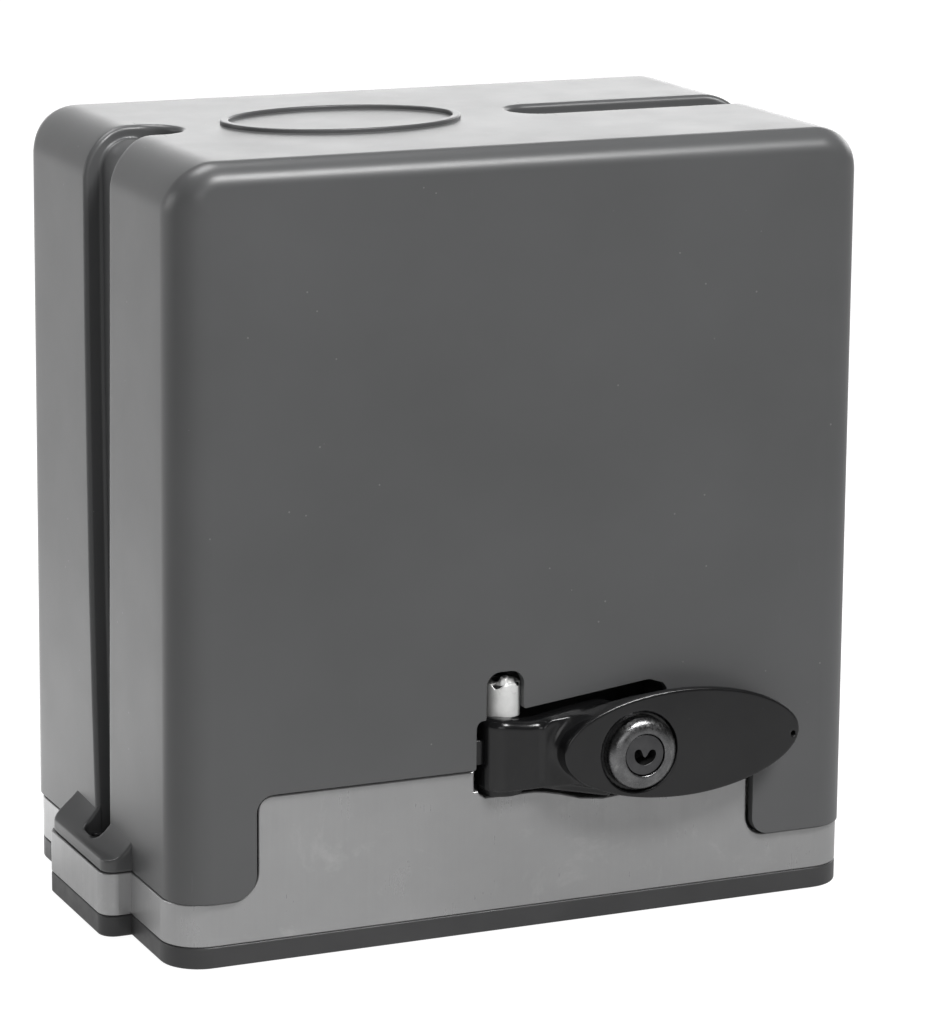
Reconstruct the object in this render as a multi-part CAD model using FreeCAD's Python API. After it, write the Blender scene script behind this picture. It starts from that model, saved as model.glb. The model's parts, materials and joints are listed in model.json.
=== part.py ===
import FreeCAD, Part
import math
import os

V = FreeCAD.Vector
os.makedirs("parts", exist_ok=True)

# Sliding gate operator. Millimetres. +X runs along the front (the release lever side) to the right,
# +Y towards the gate, +Z up. The origin is the middle of the base's underside.

# ---------------------------------------------------------------- driving dimensions
BASE_W, BASE_D, BASE_T = 220.0, 129.0, 6.6
CORNER_R = 12.0
TAB_OUT, TAB_Y0, TAB_Y1 = 118.8, -27.4, 21.0
TAB_BACK = 23.5             # the screw tabs on the base and case reach a little further back than the cover's
SKIRT_TOP = 19.7
FLOOR_TOP = 12.6
WALL = 5.0
PANEL_X0, PANEL_X1, PANEL_TOP, PANEL_T = -84.0, 74.2, 50.2, 4.0
RECESS_X0, RECESS_X1, RECESS_Z = -14.6, 46.4, 41.9
BACK_X0, BACK_X1, BACK_TOP = -60.0, 50.0, 100.0
CASE_HALF_D = 64.4
EDGE_R = 0.6

COVER_H = 234.6            # top of the cover
COVER_Z0 = 20.2
COVER_HALF_TOP, COVER_HALF_BOT, COVER_HALF_D = 109.35, 110.0, 66.4
COVER_T = 3.0
COVER_R_SIDE, COVER_R_FACE = 17.5, 8.0
GROOVE_D = 5.6
SCREW_X, SCREW_Y = 112.5, -3.4

AX, AZ = -5.6, 55.5        # output shaft axis (along Y), also the release rod's
WHEEL_Y, WHEEL_W = 2.0, 14.0
MODULE_W, TEETH_W = 2.0, 32
WORM_PITCH_R = 10.0
WORM_X = AX - (MODULE_W * TEETH_W / 2 + WORM_PITCH_R)   # -47.6
WHEEL_OUT_R = 33.7
SHAFT_R = 12.5
PINION_M, PINION_Z, PINION_Y0, PINION_Y1 = 4.0, 17, 69.0, 91.0
SHAFT_END_R = 10.0

HX, HY = -5.6, -60.0       # lever hinge axis (along Z)
LEVER_Z0, LEVER_Z1 = 44.6, 66.4
RELEASE_TRAVEL = 3.5
SWEEP_R = 11.1             # room round the hinge for the lever's heel
LOCK_X, LOCK_Z = 31.6, 54.4
PAD_X, PAD_Z, PAD_A, PAD_B = 45.7, 56.0, 38.7, 16.2
PAD_Y0, PAD_Y1 = -78.2, -73.6

DECK_Z0, DECK_Z1 = 100.0, 108.0
STATOR_H, STATOR_Z0, STATOR_Z1 = 42.0, 118.0, 168.0
SLOT_X, SLOT_Y, SLOT_R, SLOT_L = 82.0, 51.0, 4.5, 20.0
CABLE_X, CABLE_Y = 72.0, -24.0

NODES = {}


def put(name, *solids):
    NODES.setdefault(name, [])
    for s in solids:
        NODES[name] += s.Solids


def box(x0, x1, y0, y1, z0, z1):
    return Part.makeBox(x1 - x0, y1 - y0, z1 - z0, V(x0, y0, z0))


def cylz(x, y, r, z0, z1):
    return Part.makeCylinder(r, z1 - z0, V(x, y, z0), V(0, 0, 1))


def cyly(x, z, r, y0, y1):
    return Part.makeCylinder(r, y1 - y0, V(x, y0, z), V(0, 1, 0))


def cylx(y, z, r, x0, x1):
    return Part.makeCylinder(r, x1 - x0, V(x0, y, z), V(1, 0, 0))


def ringz(x, y, ro, ri, z0, z1):
    return cylz(x, y, ro, z0, z1).cut(cylz(x, y, ri, z0 - 1, z1 + 1))


def ringy(x, z, ro, ri, y0, y1):
    return cyly(x, z, ro, y0, y1).cut(cyly(x, z, ri, y0 - 1, y1 + 1))


def rrect(x0, x1, y0, y1, r, z0, z1):
    """A vertical prism on a rectangle with rounded corners."""
    s = box(x0, x1, y0, y1, z0, z1)
    es = [e for e in s.Edges if abs(e.Vertexes[0].Point.z - e.Vertexes[1].Point.z) > 1e-6]
    return s.makeFillet(r, es)


def slotz(x, y, r, length, z0, z1):
    h = length / 2 - r
    return cylz(x - h, y, r, z0, z1).fuse(cylz(x + h, y, r, z0, z1)).fuse(
        box(x - h, x + h, y - r, y + r, z0, z1)).removeSplitter()


def prism(points, axis, a0, a1):
    """A prism from 2-D points: axis 'y' takes (x, z) points, 'z' (x, y) points and 'x' (y, z) points."""
    if axis == "y":
        ps = [V(p[0], a0, p[1]) for p in points]
        d = V(0, a1 - a0, 0)
    elif axis == "z":
        ps = [V(p[0], p[1], a0) for p in points]
        d = V(0, 0, a1 - a0)
    else:
        ps = [V(a0, p[0], p[1]) for p in points]
        d = V(a1 - a0, 0, 0)
    ps.append(ps[0])
    return Part.Face(Part.makePolygon(ps)).extrude(d)


def fuse(*ss):
    out = ss[0]
    if len(ss) > 1:
        out = out.fuse(list(ss[1:]))
    return out.removeSplitter()


def edges_where(s, test):
    return [e for e in s.Edges if test(e)]


def rotated(s, centre, axis, deg):
    c = s.copy()
    c.rotate(V(*centre), V(*axis), deg)
    return c


def hexprism(x, y, z, af, h, axis="z"):
    r = af / math.sqrt(3)
    pts = [(r * math.cos(math.radians(60 * i)), r * math.sin(math.radians(60 * i))) for i in range(6)]
    if axis == "z":
        return prism([(x + a, y + b) for a, b in pts], "z", z, z + h)
    return prism([(x + a, z + b) for a, b in pts], "y", y, y + h)


def tube(points, bend, r):
    """A round lead along straight runs joined by tangent arcs."""
    pts = [V(*p) for p in points]
    edges, last = [], pts[0]
    for i in range(1, len(pts) - 1):
        a, b, c = pts[i - 1], pts[i], pts[i + 1]
        u, w = (a - b).normalize(), (c - b).normalize()
        half = math.acos(max(-1, min(1, u.dot(w)))) / 2
        cut = bend / math.tan(half)
        s, e = b + u * cut, b + w * cut
        mid_dir = (u + w).normalize()
        m = b + mid_dir * (bend / math.sin(half) - bend)
        if (s - last).Length > 1e-6:
            edges.append(Part.LineSegment(last, s).toShape())
        edges.append(Part.Arc(s, m, e).toShape())
        last = e
    edges.append(Part.LineSegment(last, pts[-1]).toShape())
    wire = Part.Wire(edges)
    d = (pts[1] - pts[0]).normalize()
    circle = Part.Wire(Part.makeCircle(r, pts[0], d))
    return wire.makePipeShell([circle], True, False)


# ---------------------------------------------------------------- base plate
def tabs(z0, z1, r=5.0):
    out = []
    for s in (-1, 1):
        x0, x1 = (100.0, TAB_OUT) if s > 0 else (-TAB_OUT, -100.0)
        b = box(x0, x1, TAB_Y0, TAB_BACK, z0, z1)
        for back, rad in ((False, r), (True, r - 1.0)):
            b = b.makeFillet(rad, edges_where(b, lambda e: abs(e.BoundBox.ZLength - (z1 - z0)) < 1e-6
                                              and abs(abs(e.BoundBox.XMin) - TAB_OUT) < 1e-3
                                              and abs(e.BoundBox.YMin - (TAB_BACK if back else TAB_Y0)) < 1e-3))
        out.append(b)
    return out


base = fuse(rrect(-BASE_W / 2, BASE_W / 2, -BASE_D / 2, BASE_D / 2, CORNER_R, 0, BASE_T), *tabs(0, BASE_T))
slots = [slotz(sx * SLOT_X, sy * SLOT_Y, SLOT_R, SLOT_L, -5, 30) for sx in (-1, 1) for sy in (-1, 1)]
BASE_SCREWS = [(-96, -20), (96, -20), (-96, 24), (96, 24)]
cuts = slots + [cylz(CABLE_X, CABLE_Y, 12.0, -1, 20)]
for x, y in BASE_SCREWS:
    cuts += [cylz(x, y, 2.3, -1, 8), Part.makeCone(4.6, 2.3, 2.6, V(x, y, 0))]
base = base.makeFillet(0.7, edges_where(base, lambda e: e.BoundBox.ZLength < 1e-3)).cut(cuts)
put("base_plate", base)
for x, y in BASE_SCREWS:
    put("base_screws", Part.makeCone(4.5, 2.2, 2.6, V(x, y, 0.0)).fuse(cylz(x, y, 2.2, 2.6, BASE_T)).fuse(
        cylz(x, y, 2.0, BASE_T, 11.6)).cut(box(x - 0.5, x + 0.5, y - 4, y + 4, -0.1, 1.2)).removeSplitter())

# ---------------------------------------------------------------- gearbox case
half_w = BASE_W / 2
skirt = fuse(rrect(-half_w, half_w, -CASE_HALF_D, CASE_HALF_D, CORNER_R, BASE_T, SKIRT_TOP), *tabs(BASE_T, SKIRT_TOP))
skirt = skirt.cut(rrect(-half_w + WALL, half_w - WALL, -CASE_HALF_D + WALL, CASE_HALF_D - WALL, CORNER_R - WALL,
                        FLOOR_TOP, SKIRT_TOP + 5))
# raised front panel with concave feet, and the step that the lever lies in
pf = []
pts = [(PANEL_X0, 8.0), (PANEL_X0, PANEL_TOP), (PANEL_X1, PANEL_TOP), (PANEL_X1, 8.0)]
panel = prism(pts, "y", -CASE_HALF_D, -CASE_HALF_D + PANEL_T)
panel = panel.makeFillet(4.5, edges_where(panel, lambda e: e.BoundBox.ZMin > 49 and e.BoundBox.YLength > 3
                                          and abs(e.BoundBox.XMin - PANEL_X0) < 1e-3))
panel = panel.makeFillet(3.0, edges_where(panel, lambda e: e.BoundBox.ZMin > 49 and e.BoundBox.YLength > 3
                                          and abs(e.BoundBox.XMin - PANEL_X1) < 1e-3))
for x, s, r in ((PANEL_X0, -1, 8.0), (PANEL_X1, 1, 6.0)):
    f = box(min(x, x + s * r), max(x, x + s * r), -CASE_HALF_D, -CASE_HALF_D + PANEL_T, SKIRT_TOP, SKIRT_TOP + r).cut(
        cyly(x + s * r, SKIRT_TOP + r, r, -70, -50))
    pf.append(f)
recess = prism([(RECESS_X0 - 0.8, 55), (RECESS_X0 - 0.5, 44.5), (RECESS_X0 + 0.4, RECESS_Z + 1.0), (RECESS_X0 + 2.1, RECESS_Z), (3.4, RECESS_Z),
                (7.0, 41.4), (11.8, 40.3), (18.5, 38.3), (26.0, 37.4), (RECESS_X1 - 5, 38.6), (RECESS_X1 - 1.2, 41.2), (RECESS_X1, 45.0),
                (RECESS_X1, 55)], "y", -70, -55)
panel = panel.cut(recess)
lower_lug = box(HX - 8.5, HX + 8.5, -61.0, HY + 9, 28, RECESS_Z)
lower_lug = lower_lug.makeFillet(4.0, edges_where(lower_lug, lambda e: e.BoundBox.ZLength > 5 and e.BoundBox.YMin > -55))
# raised back panel, bearing boss and the gear housing
back = rrect(BACK_X0, BACK_X1, CASE_HALF_D - PANEL_T, CASE_HALF_D, 1.9, 10, BACK_TOP)
shelf = box(-22, 12, 50, 61, 96, 100)
HX0, HX1, HY0, HY1 = -66.0, 38.0, -18.0, 22.0
housing = rrect(HX0, HX1, HY0, HY1, 2.4, 10, DECK_Z0)
boss = cyly(AX, AZ, 28.5, HY1 - 1, CASE_HALF_D)
ribs = [box(AX - 40, AX + 40, 21, 61, AZ - 2.5, AZ + 2.5), box(AX - 2.5, AX + 2.5, 21, 61, 12, 97)]
case = fuse(skirt, panel, *pf, lower_lug, back, shelf, housing, boss, *ribs)
cavity = rrect(-61, 31, -13, 17, 3.0, 19, DECK_Z0 + 5)
case = case.cut(cavity)
case = case.fuse(cylz(WORM_X, WHEEL_Y, 14, 12, 23)).removeSplitter()
cuts = slots + [cylz(CABLE_X, CABLE_Y, 12.0, 0, 20),
                cylz(WORM_X, WHEEL_Y, 11.02, 15, 24),
                cyly(AX, AZ, 35.0, HY0 - 1, -12),               # round opening that the wheel goes in by
                cyly(AX, AZ, 23.52, 16, 52),                    # back bearing seat
                cyly(AX, AZ, 13.5, 50, 70),
                cyly(AX, AZ, 20.02, 55, 66),                    # oil seal seat
                cylz(HX, HY, 3.02, 27, 45),
                cylz(HX, HY, SWEEP_R, 43.9, 60).cut(box(-50, 50, -61.0, 0, 40, 65)).fuse(
                    cylz(HX, HY, SWEEP_R, 43.9, 60).cut(box(HX, 50, -80, 0, 40, 65))).removeSplitter()]
CAP_ANGLES = [30 + 60 * i for i in range(6)]
for a in CAP_ANGLES:
    cuts.append(cyly(AX + 38 * math.cos(math.radians(a)), AZ + 38 * math.sin(math.radians(a)), 2.0, HY0 - 1, HY0 + 4.9))
LID_SCREWS = [(-63.5, -15.5), (34.5, -15.5), (-63.5, 19.5), (34.5, 19.5)]
cuts += [cylz(x, y, 1.8, 85, 101) for x, y in LID_SCREWS]
for s in (-1, 1):
    cuts.append(cylz(s * SCREW_X, SCREW_Y, 2.1, 7.5, 25))
for x, y in BASE_SCREWS:
    cuts.append(cylz(x, y, 2.02, 6, 11.9))
POSTS = [(86, -38), (86, 40)]
cuts += [cylz(x, y, 2.0, 7.5, 14) for x, y in POSTS]
cuts.append(cylz(58, 30, 2.0, 8, 14))
case = case.cut(cuts)


def outside(e):
    b = e.BoundBox
    return b.ZLength < 1e-3 and not (b.XMin > -104 and b.XMax < 104 and b.YMin > -59 and b.YMax < 59)


# small rounded edges: the panel's outline, and the case's outer rims
case = case.makeFillet(EDGE_R, edges_where(case, lambda e: abs(e.BoundBox.YMin + CASE_HALF_D) < 1e-3
                                           and e.BoundBox.YLength < 1e-3 and e.BoundBox.ZMin > SKIRT_TOP - 0.7))
case = case.makeFillet(0.5, edges_where(case, lambda e: abs(e.BoundBox.ZMin - BASE_T) < 1e-3 and outside(e)))
case = case.makeFillet(0.5, edges_where(case, lambda e: abs(e.BoundBox.ZMin - SKIRT_TOP) < 1e-3 and outside(e)
                                        and max(abs(e.BoundBox.XMin), abs(e.BoundBox.XMax)) > 105.5))
put("gearbox_case", case)
put("earth_screw", fuse(cylz(58, 30, 1.95, 8.2, 13.6), hexprism(58, 30, 13.6, 8, 3.2)))

# ---------------------------------------------------------------- front bearing cap with the lever's upper lug
cap = fuse(cyly(AX, AZ, 41, -24, -18), cyly(AX, AZ, 34.9, -19, -13), cyly(AX, AZ, 28.5, -42, -20),
           box(HX - 5.0, HX + 5.0, HY, -40, 66.6, 75.3), cylz(HX, HY, 5.0, 66.6, 75.3))
cap = cap.cut([cyly(AX, AZ, 23.52, -37, -10), cyly(AX, AZ, 4.1, -45, -30), cylz(HX, HY, 3.02, 60, 80)])
for a in CAP_ANGLES:
    x, z = AX + 38 * math.cos(math.radians(a)), AZ + 38 * math.sin(math.radians(a))
    cap = cap.cut(cyly(x, z, 2.2, -26, -10))
    put("cap_screws", fuse(cyly(x, z, 1.95, -24, HY0 + 4.5), cyly(x, z, 3.5, -27.6, -24)).cut(hexprism(x, -27.7, z, 3, 2, "y")))
put("bearing_cap", cap)


# ---------------------------------------------------------------- bearings, seal and output shaft
def bearing(name, centre, axis, ri, ro, w, balls):
    """A deep-groove ball bearing: two grooved rings and their balls, along +Z from z = 0, then placed."""
    mid, br = (ri + ro) / 2, (ro - ri) * 0.3
    outer = ringz(0, 0, ro, mid + br * 0.55, 0, w).cut(Part.makeTorus(mid, br + 0.05, V(0, 0, w / 2)))
    inner = ringz(0, 0, mid - br * 0.55, ri, 0, w).cut(Part.makeTorus(mid, br + 0.05, V(0, 0, w / 2)))
    parts = [outer, inner]
    for i in range(balls):
        a = 2 * math.pi * i / balls
        parts.append(Part.makeSphere(br, V(mid * math.cos(a), mid * math.sin(a), w / 2)))
    for p in parts:
        if axis == "y":
            p.rotate(V(0, 0, 0), V(1, 0, 0), -90)
        p.translate(V(*centre))
        put(name, p)


bearing("front_shaft_bearing", (AX, -37.0, AZ), "y", SHAFT_R + 0.02, 23.5, 12, 9)
bearing("back_shaft_bearing", (AX, 40.0, AZ), "y", SHAFT_R + 0.02, 23.5, 12, 9)
bearing("lower_worm_bearing", (WORM_X, WHEEL_Y, 15.0), "z", 4.02, 11.0, 7, 7)
bearing("lower_motor_bearing", (WORM_X, WHEEL_Y, 100.5), "z", 6.02, 14.0, 8, 8)
bearing("upper_motor_bearing", (WORM_X, WHEEL_Y, 181.0), "z", 4.02, 11.0, 7, 7)

put("oil_seal", fuse(ringy(AX, AZ, 20.0, 17.5, 55.0, 62.0), ringy(AX, AZ, 18.0, 13.2, 60.5, 62.0),
                     ringy(AX, AZ, 15.0, SHAFT_R + 0.03, 56.0, 61.0)))

shaft = fuse(cyly(AX, AZ, SHAFT_R, -37, PINION_Y0 - 0.1), cyly(AX, AZ, SHAFT_END_R, PINION_Y0 - 0.2, PINION_Y1 - 0.4))
shaft = shaft.cut([cyly(AX, AZ, 4.2, -38, 36),
                   box(AX - 14, AX + 14, 5.7, 13.5, AZ - 2.05, AZ + 2.05),      # slot of the clutch pin
                   box(AX - 3, AX + 3, 70.5, PINION_Y1 + 1, AZ + 6.5, AZ + 12),  # keyway
                   cyly(AX, AZ, 3.4, 72, 95)])
for y in (34.5, -22.5):
    shaft = shaft.cut(ringy(AX, AZ, 14, 11.7, y, y + 1.3))
    clip = ringy(AX, AZ, 14.2, 11.75, y + 0.05, y + 1.25).cut(box(AX - 2.5, AX + 2.5, y - 1, y + 3, AZ - 16, AZ - 5))
    put("shaft_circlips", clip)
put("output_shaft", shaft)

# ---------------------------------------------------------------- worm wheel (bronze) and its clutch
lam = math.atan(MODULE_W / (2 * WORM_PITCH_R))
R = MODULE_W * TEETH_W / 2
wheel = cyly(AX, AZ, WHEEL_OUT_R, WHEEL_Y - WHEEL_W / 2, WHEEL_Y + WHEEL_W / 2)
wheel = wheel.fuse(cyly(AX, AZ, 20, WHEEL_Y - 11, WHEEL_Y + WHEEL_W / 2)).removeSplitter()
wheel = wheel.cut(cyly(AX, AZ, SHAFT_R + 0.05, -30, 30))
wheel = wheel.cut([ringy(AX, AZ, 27.5, 21, 5.0, 10), ringy(AX, AZ, 27.5, 21, -6, -1.0)])
tan = math.tan(math.radians(24))
half_at = lambda r: 1.62 + (r - R) * tan
slot_pts = [(-(R - 2.5), -half_at(R - 2.5)), (-(R - 2.5), half_at(R - 2.5)),
            (-(R + 4), half_at(R + 4)), (-(R + 4), -half_at(R + 4))]
L = 30.0
one = Part.Face(Part.makePolygon([V(AX + p[0], WHEEL_Y - L / 2, AZ + p[1] - L / 2 * math.tan(lam)) for p in slot_pts + slot_pts[:1]]
                                 )).extrude(V(0, L, L * math.tan(lam)))
wheel = wheel.cut([rotated(one, (AX, 0, AZ), (0, 1, 0), 360.0 / TEETH_W * i) for i in range(TEETH_W)])
wheel = wheel.cut(box(AX - 22, AX + 22, 5.7, 20, AZ - 2.1, AZ + 2.1))            # dog notches in the hub's back face
put("worm_wheel", wheel)
put("clutch_pin", cylx(7.8, AZ, 2.0, AX - 17.5, AX + 17.5))
rod = fuse(Part.makeSphere(1.5, V(AX, -53.2, AZ)), cyly(AX, AZ, 1.5, -53.2, -52.0),
           Part.makeCone(1.5, 4.0, 2.5, V(AX, -52.5, AZ), V(0, 1, 0)), cyly(AX, AZ, 4.0, -50.0, 5.75))
put("release_push_rod", rod)
coil = Part.BSplineCurve()
coil.interpolate([V(AX + 3.4 * math.cos(math.pi * i / 8), 11.0 + 3.0 * i / 16, AZ - 3.4 * math.sin(math.pi * i / 8))
                  for i in range(8 * 16 + 1)])
coil = coil.toShape()
start = V(AX + 3.4, 11.0, AZ)
sec = Part.Wire(Part.makeCircle(0.45, start, V(0, 3.0, -2 * math.pi * 3.4)))
put("return_spring", Part.Wire(coil).makePipeShell([sec], True, True))

# ---------------------------------------------------------------- worm shaft and rotor
pitch = math.pi * MODULE_W
turns = 6
z_start = AZ - pitch * (turns / 2)
root = WORM_PITCH_R - 2.5
th = lambda r: 1.14 - (r - WORM_PITCH_R) * math.tan(math.radians(20))
helix = Part.makeHelix(pitch, pitch * turns, WORM_PITCH_R)
helix.translate(V(0, 0, 0))
prof = Part.Wire(Part.makePolygon([V(root - 0.4, 0, -th(root)), V(WORM_PITCH_R + 1.9, 0, -th(WORM_PITCH_R + 1.9)),
                                   V(WORM_PITCH_R + 1.9, 0, th(WORM_PITCH_R + 1.9)), V(root - 0.4, 0, th(root)),
                                   V(root - 0.4, 0, -th(root))]))
thread = Part.Wire(helix).makePipeShell([prof], True, True)
thread.translate(V(WORM_X, WHEEL_Y, z_start))
worm = fuse(cylz(WORM_X, WHEEL_Y, 4.0, 15.0, 25), cylz(WORM_X, WHEEL_Y, 6.0, 24, 179), cylz(WORM_X, WHEEL_Y, root, 34, 77),
            cylz(WORM_X, WHEEL_Y, 4.0, 178, 192))
worm = worm.fuse(thread)
put("worm_shaft", worm)
rotor = ringz(WORM_X, WHEEL_Y, 25.0, 6.0, 120, 166)
for z in (116, 166):
    rotor = rotor.fuse(ringz(WORM_X, WHEEL_Y, 24.0, 15.0, z, z + 4))
put("rotor_core", rotor.removeSplitter())

# ---------------------------------------------------------------- drive pinion
def gear(cx, cz, m, z, y0, y1):
    """Spur gear with straight-sided 20-degree teeth whose tips are rounded off by a second flank angle."""
    r = m * z / 2
    pts = []
    for i in range(z):
        c = 2 * math.pi * i / z + math.pi / 2
        for rr, hw in ((r - 1.25 * m, 0.50), (r - 0.45 * m, 0.335), (r, 0.245), (r + 0.55 * m, 0.16), (r + m, 0.085)):
            a = c - hw * 2 * math.pi / z
            pts.append((rr, a))
        for rr, hw in ((r + m, 0.085), (r + 0.55 * m, 0.16), (r, 0.245), (r - 0.45 * m, 0.335)):
            pts.append((rr, c + hw * 2 * math.pi / z))
    return prism([(cx + rr * math.cos(a), cz + rr * math.sin(a)) for rr, a in pts], "y", y0, y1)


pinion = gear(AX, AZ, PINION_M, PINION_Z, PINION_Y0, PINION_Y1)
pinion = pinion.cut([cyly(AX, AZ, SHAFT_END_R + 0.02, 60, 100), ringy(AX, AZ, 25.5, 17.0, 86, 95),
                     box(AX - 3.02, AX + 3.02, 60, 100, AZ, AZ + 12.8)])
put("drive_pinion", pinion)
put("pinion_key", box(AX - 2.98, AX + 2.98, 70.6, 90.4, AZ + 6.55, AZ + 12.7))
put("pinion_washer", ringy(AX, AZ, 14.0, 4.3, PINION_Y1 + 0.02, PINION_Y1 + 2.5))
put("pinion_bolt", fuse(cyly(AX, AZ, 3.38, 73, PINION_Y1 + 2.6), hexprism(AX, PINION_Y1 + 2.52, AZ, 13, 5.3, "y")))

# ---------------------------------------------------------------- deck plate, motor
mx0, mx1, my0, my1 = WORM_X - 42, WORM_X + 42, WHEEL_Y - 42, WHEEL_Y + 42
deck = rrect(-91, 92, -46, 46, 6, DECK_Z0, DECK_Z1)
deck = deck.fuse(rrect(mx0, mx1, my0, my1, 6, DECK_Z1 - 1, STATOR_Z0)).removeSplitter()
inner = rrect(mx0 + 5, mx1 - 5, my0 + 5, my1 - 5, 14, DECK_Z1, STATOR_Z0 + 1)
deck = deck.cut([inner, cylz(WORM_X, WHEEL_Y, 14.02, 100.5, 110), cylz(WORM_X, WHEEL_Y, 8, 95, 110),
                 rrect(50, 80, -36, -12, 5, 95, 110), box(-11, -4, -25, -16, 109.2, 114.4)])
TIES = [(WORM_X + sx * 36, WHEEL_Y + sy * 36) for sx in (-1, 1) for sy in (-1, 1)]
deck = deck.cut([cylz(x, y, 2.2, 95, 120) for x, y in LID_SCREWS] + [cylz(x, y, 2.2, 95, 120) for x, y in POSTS]
                + [cylz(x, y, 2.0, 101, 120) for x, y in TIES])
put("gearbox_deck", deck)
for x, y in LID_SCREWS:
    put("deck_screws", fuse(cylz(x, y, 1.75, 88, 108), cylz(x, y, 3.3, 108, 111)).cut(hexprism(x, y, 109.4, 3, 2)))
for x, y in POSTS:
    put("deck_posts", fuse(hexprism(x, y, FLOOR_TOP, 9, DECK_Z0 - FLOOR_TOP), cylz(x, y, 1.95, 8, FLOOR_TOP + 1)))
    put("post_screws", fuse(cylz(x, y, 2.1, DECK_Z0, 108.0), cylz(x, y, 3.6, 108, 110.8)).cut(
        box(x - 4, x + 4, y - 0.5, y + 0.5, 109.6, 112)))

stator = rrect(mx0, mx1, my0, my1, 6, STATOR_Z0, STATOR_Z1)
st_cuts = [cylz(WORM_X, WHEEL_Y, 25.5, 110, 180)] + [cylz(x, y, 2.7, 110, 180) for x, y in TIES]
coils = []
for i in range(24):
    a = 360.0 / 24 * i
    s = box(WORM_X + 28, WORM_X + 36.5, WHEEL_Y - 2.2, WHEEL_Y + 2.2, 110, 180)
    mouth = box(WORM_X + 24, WORM_X + 29, WHEEL_Y - 0.8, WHEEL_Y + 0.8, 110, 180)
    st_cuts += [rotated(s, (WORM_X, WHEEL_Y, 0), (0, 0, 1), a), rotated(mouth, (WORM_X, WHEEL_Y, 0), (0, 0, 1), a)]
    c = box(WORM_X + 28.4, WORM_X + 36.2, WHEEL_Y - 1.9, WHEEL_Y + 1.9, STATOR_Z0 - 1, STATOR_Z1 + 1)
    coils.append(rotated(c, (WORM_X, WHEEL_Y, 0), (0, 0, 1), a))
put("stator_core", stator.cut(st_cuts))


def end_turns(z0, z1):
    r = ringz(WORM_X, WHEEL_Y, 36.4, 27.9, z0, z1)
    return r


wind = fuse(end_turns(112.0, STATOR_Z0 - 0.2), end_turns(STATOR_Z1 + 0.2, 176.5), *coils)
put("stator_winding", wind)
shield = rrect(mx0, mx1, my0, my1, 6, STATOR_Z1, 184).cut(rrect(mx0 + 5, mx1 - 5, my0 + 5, my1 - 5, 14, 160, 179.5))
shield = fuse(shield, cylz(WORM_X, WHEEL_Y, 16, 182, 191))
shield = shield.cut([cylz(WORM_X, WHEEL_Y, 11.02, 170, 188.02), cylz(WORM_X, WHEEL_Y, 5.0, 170, 195)]
                    + [cylz(x, y, 2.7, 160, 200) for x, y in TIES])
for i in range(12):
    a = 30 * i
    v = box(WORM_X + 20, WORM_X + 31, WHEEL_Y - 1.6, WHEEL_Y + 1.6, 175, 190)
    shield = shield.cut(rotated(v, (WORM_X, WHEEL_Y, 0), (0, 0, 1), a))
put("motor_end_shield", shield)
for x, y in TIES:
    put("motor_tie_bolts", fuse(cylz(x, y, 1.95, 103, 120), cylz(x, y, 2.5, 118.2, 184.1), hexprism(x, y, 184.0, 8, 4.0)))

# ---------------------------------------------------------------- run capacitor and its clamp
cx, cy = 16.0, 28.0
can = cylz(cx, cy, 15, DECK_Z1, 172)
can = can.makeFillet(1.6, edges_where(can, lambda e: e.BoundBox.ZMin > 171 and e.BoundBox.XLength > 10))
can = fuse(can, cylz(cx, cy, 9, 171, 174), box(cx - 6, cx - 5.2, cy - 3, cy + 3, 173, 181), box(cx + 5.2, cx + 6, cy - 3, cy + 3, 173, 181))
put("run_capacitor", can)
clamp = ringz(cx, cy, 16.2, 15.05, 128, 140).cut(box(cx + 5, cx + 20, cy - 2, cy + 2, 120, 150))
clamp = fuse(clamp, box(cx + 15.0, cx + 22, cy + 2, cy + 3.2, 128, 140), box(cx + 15.0, cx + 22, cy - 3.2, cy - 2, 128, 140),
             box(cx - 4, cx + 4, cy - 17.4, cy - 15.4, 108, 140))
put("capacitor_clamp", clamp)

# ---------------------------------------------------------------- transformer
tx0, tx1, ty0, ty1 = 50.0, 86.0, -2.0, 30.0
core = box(tx0, tx1, ty0, ty1, DECK_Z1, 152).cut([box(tx0 + 6, tx0 + 12, -10, 60, 114, 146), box(tx1 - 12, tx1 - 6, -10, 60, 114, 146)])
put("transformer_core", core)
coil_t = rrect(tx0 + 6.2, tx1 - 6.2, ty0 - 7.5, ty1 + 7.5, 3, 114.4, 145.6).cut(box(tx0 + 11.8, tx1 - 11.8, ty0 - 0.2, ty1 + 0.2, 100, 160))
put("transformer_coil", coil_t)

# ---------------------------------------------------------------- control board on its carrier
carrier = fuse(box(4, 90, -44.4, -42, DECK_Z1, 216), box(4, 44, -43, -30, DECK_Z1, 110.5),
               box(4, 6.4, -42.5, -34, DECK_Z1, 216), box(87.6, 90, -42.5, -37, 112, 216))
BOARD = [(13, 117), (85, 117), (13, 207), (85, 207)]
carrier = fuse(carrier, *[cyly(x, z, 3.6, -48.4, -44) for x, z in BOARD])
carrier = carrier.cut([cyly(x, z, 1.4, -50, -41) for x, z in BOARD] + [cylz(14, -34, 1.8, 100, 112), cylz(36, -34, 1.8, 100, 112)])
put("board_carrier", carrier)
for x in (14, 36):
    put("carrier_screws", fuse(cylz(x, -34, 1.7, DECK_Z1 + 0.1, 110.5), cylz(x, -34, 3.2, 110.5, 112.6)))
pcb = box(8, 90, -50.0, -48.4, 112, 212).cut([cyly(x, z, 1.6, -52, -46) for x, z in BOARD])
put("control_board", pcb)
for x, z in BOARD:
    put("board_screws", fuse(cyly(x, z, 1.35, -50.0, -43), cyly(x, z, 2.8, -52.0, -50.0)))
term = box(20, 78, -60, -50.0, 114, 124.5)
term = term.cut([cyly(22.9 + 5.8 * i, 121.0, 1.9, -61, -53) for i in range(10)])
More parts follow.
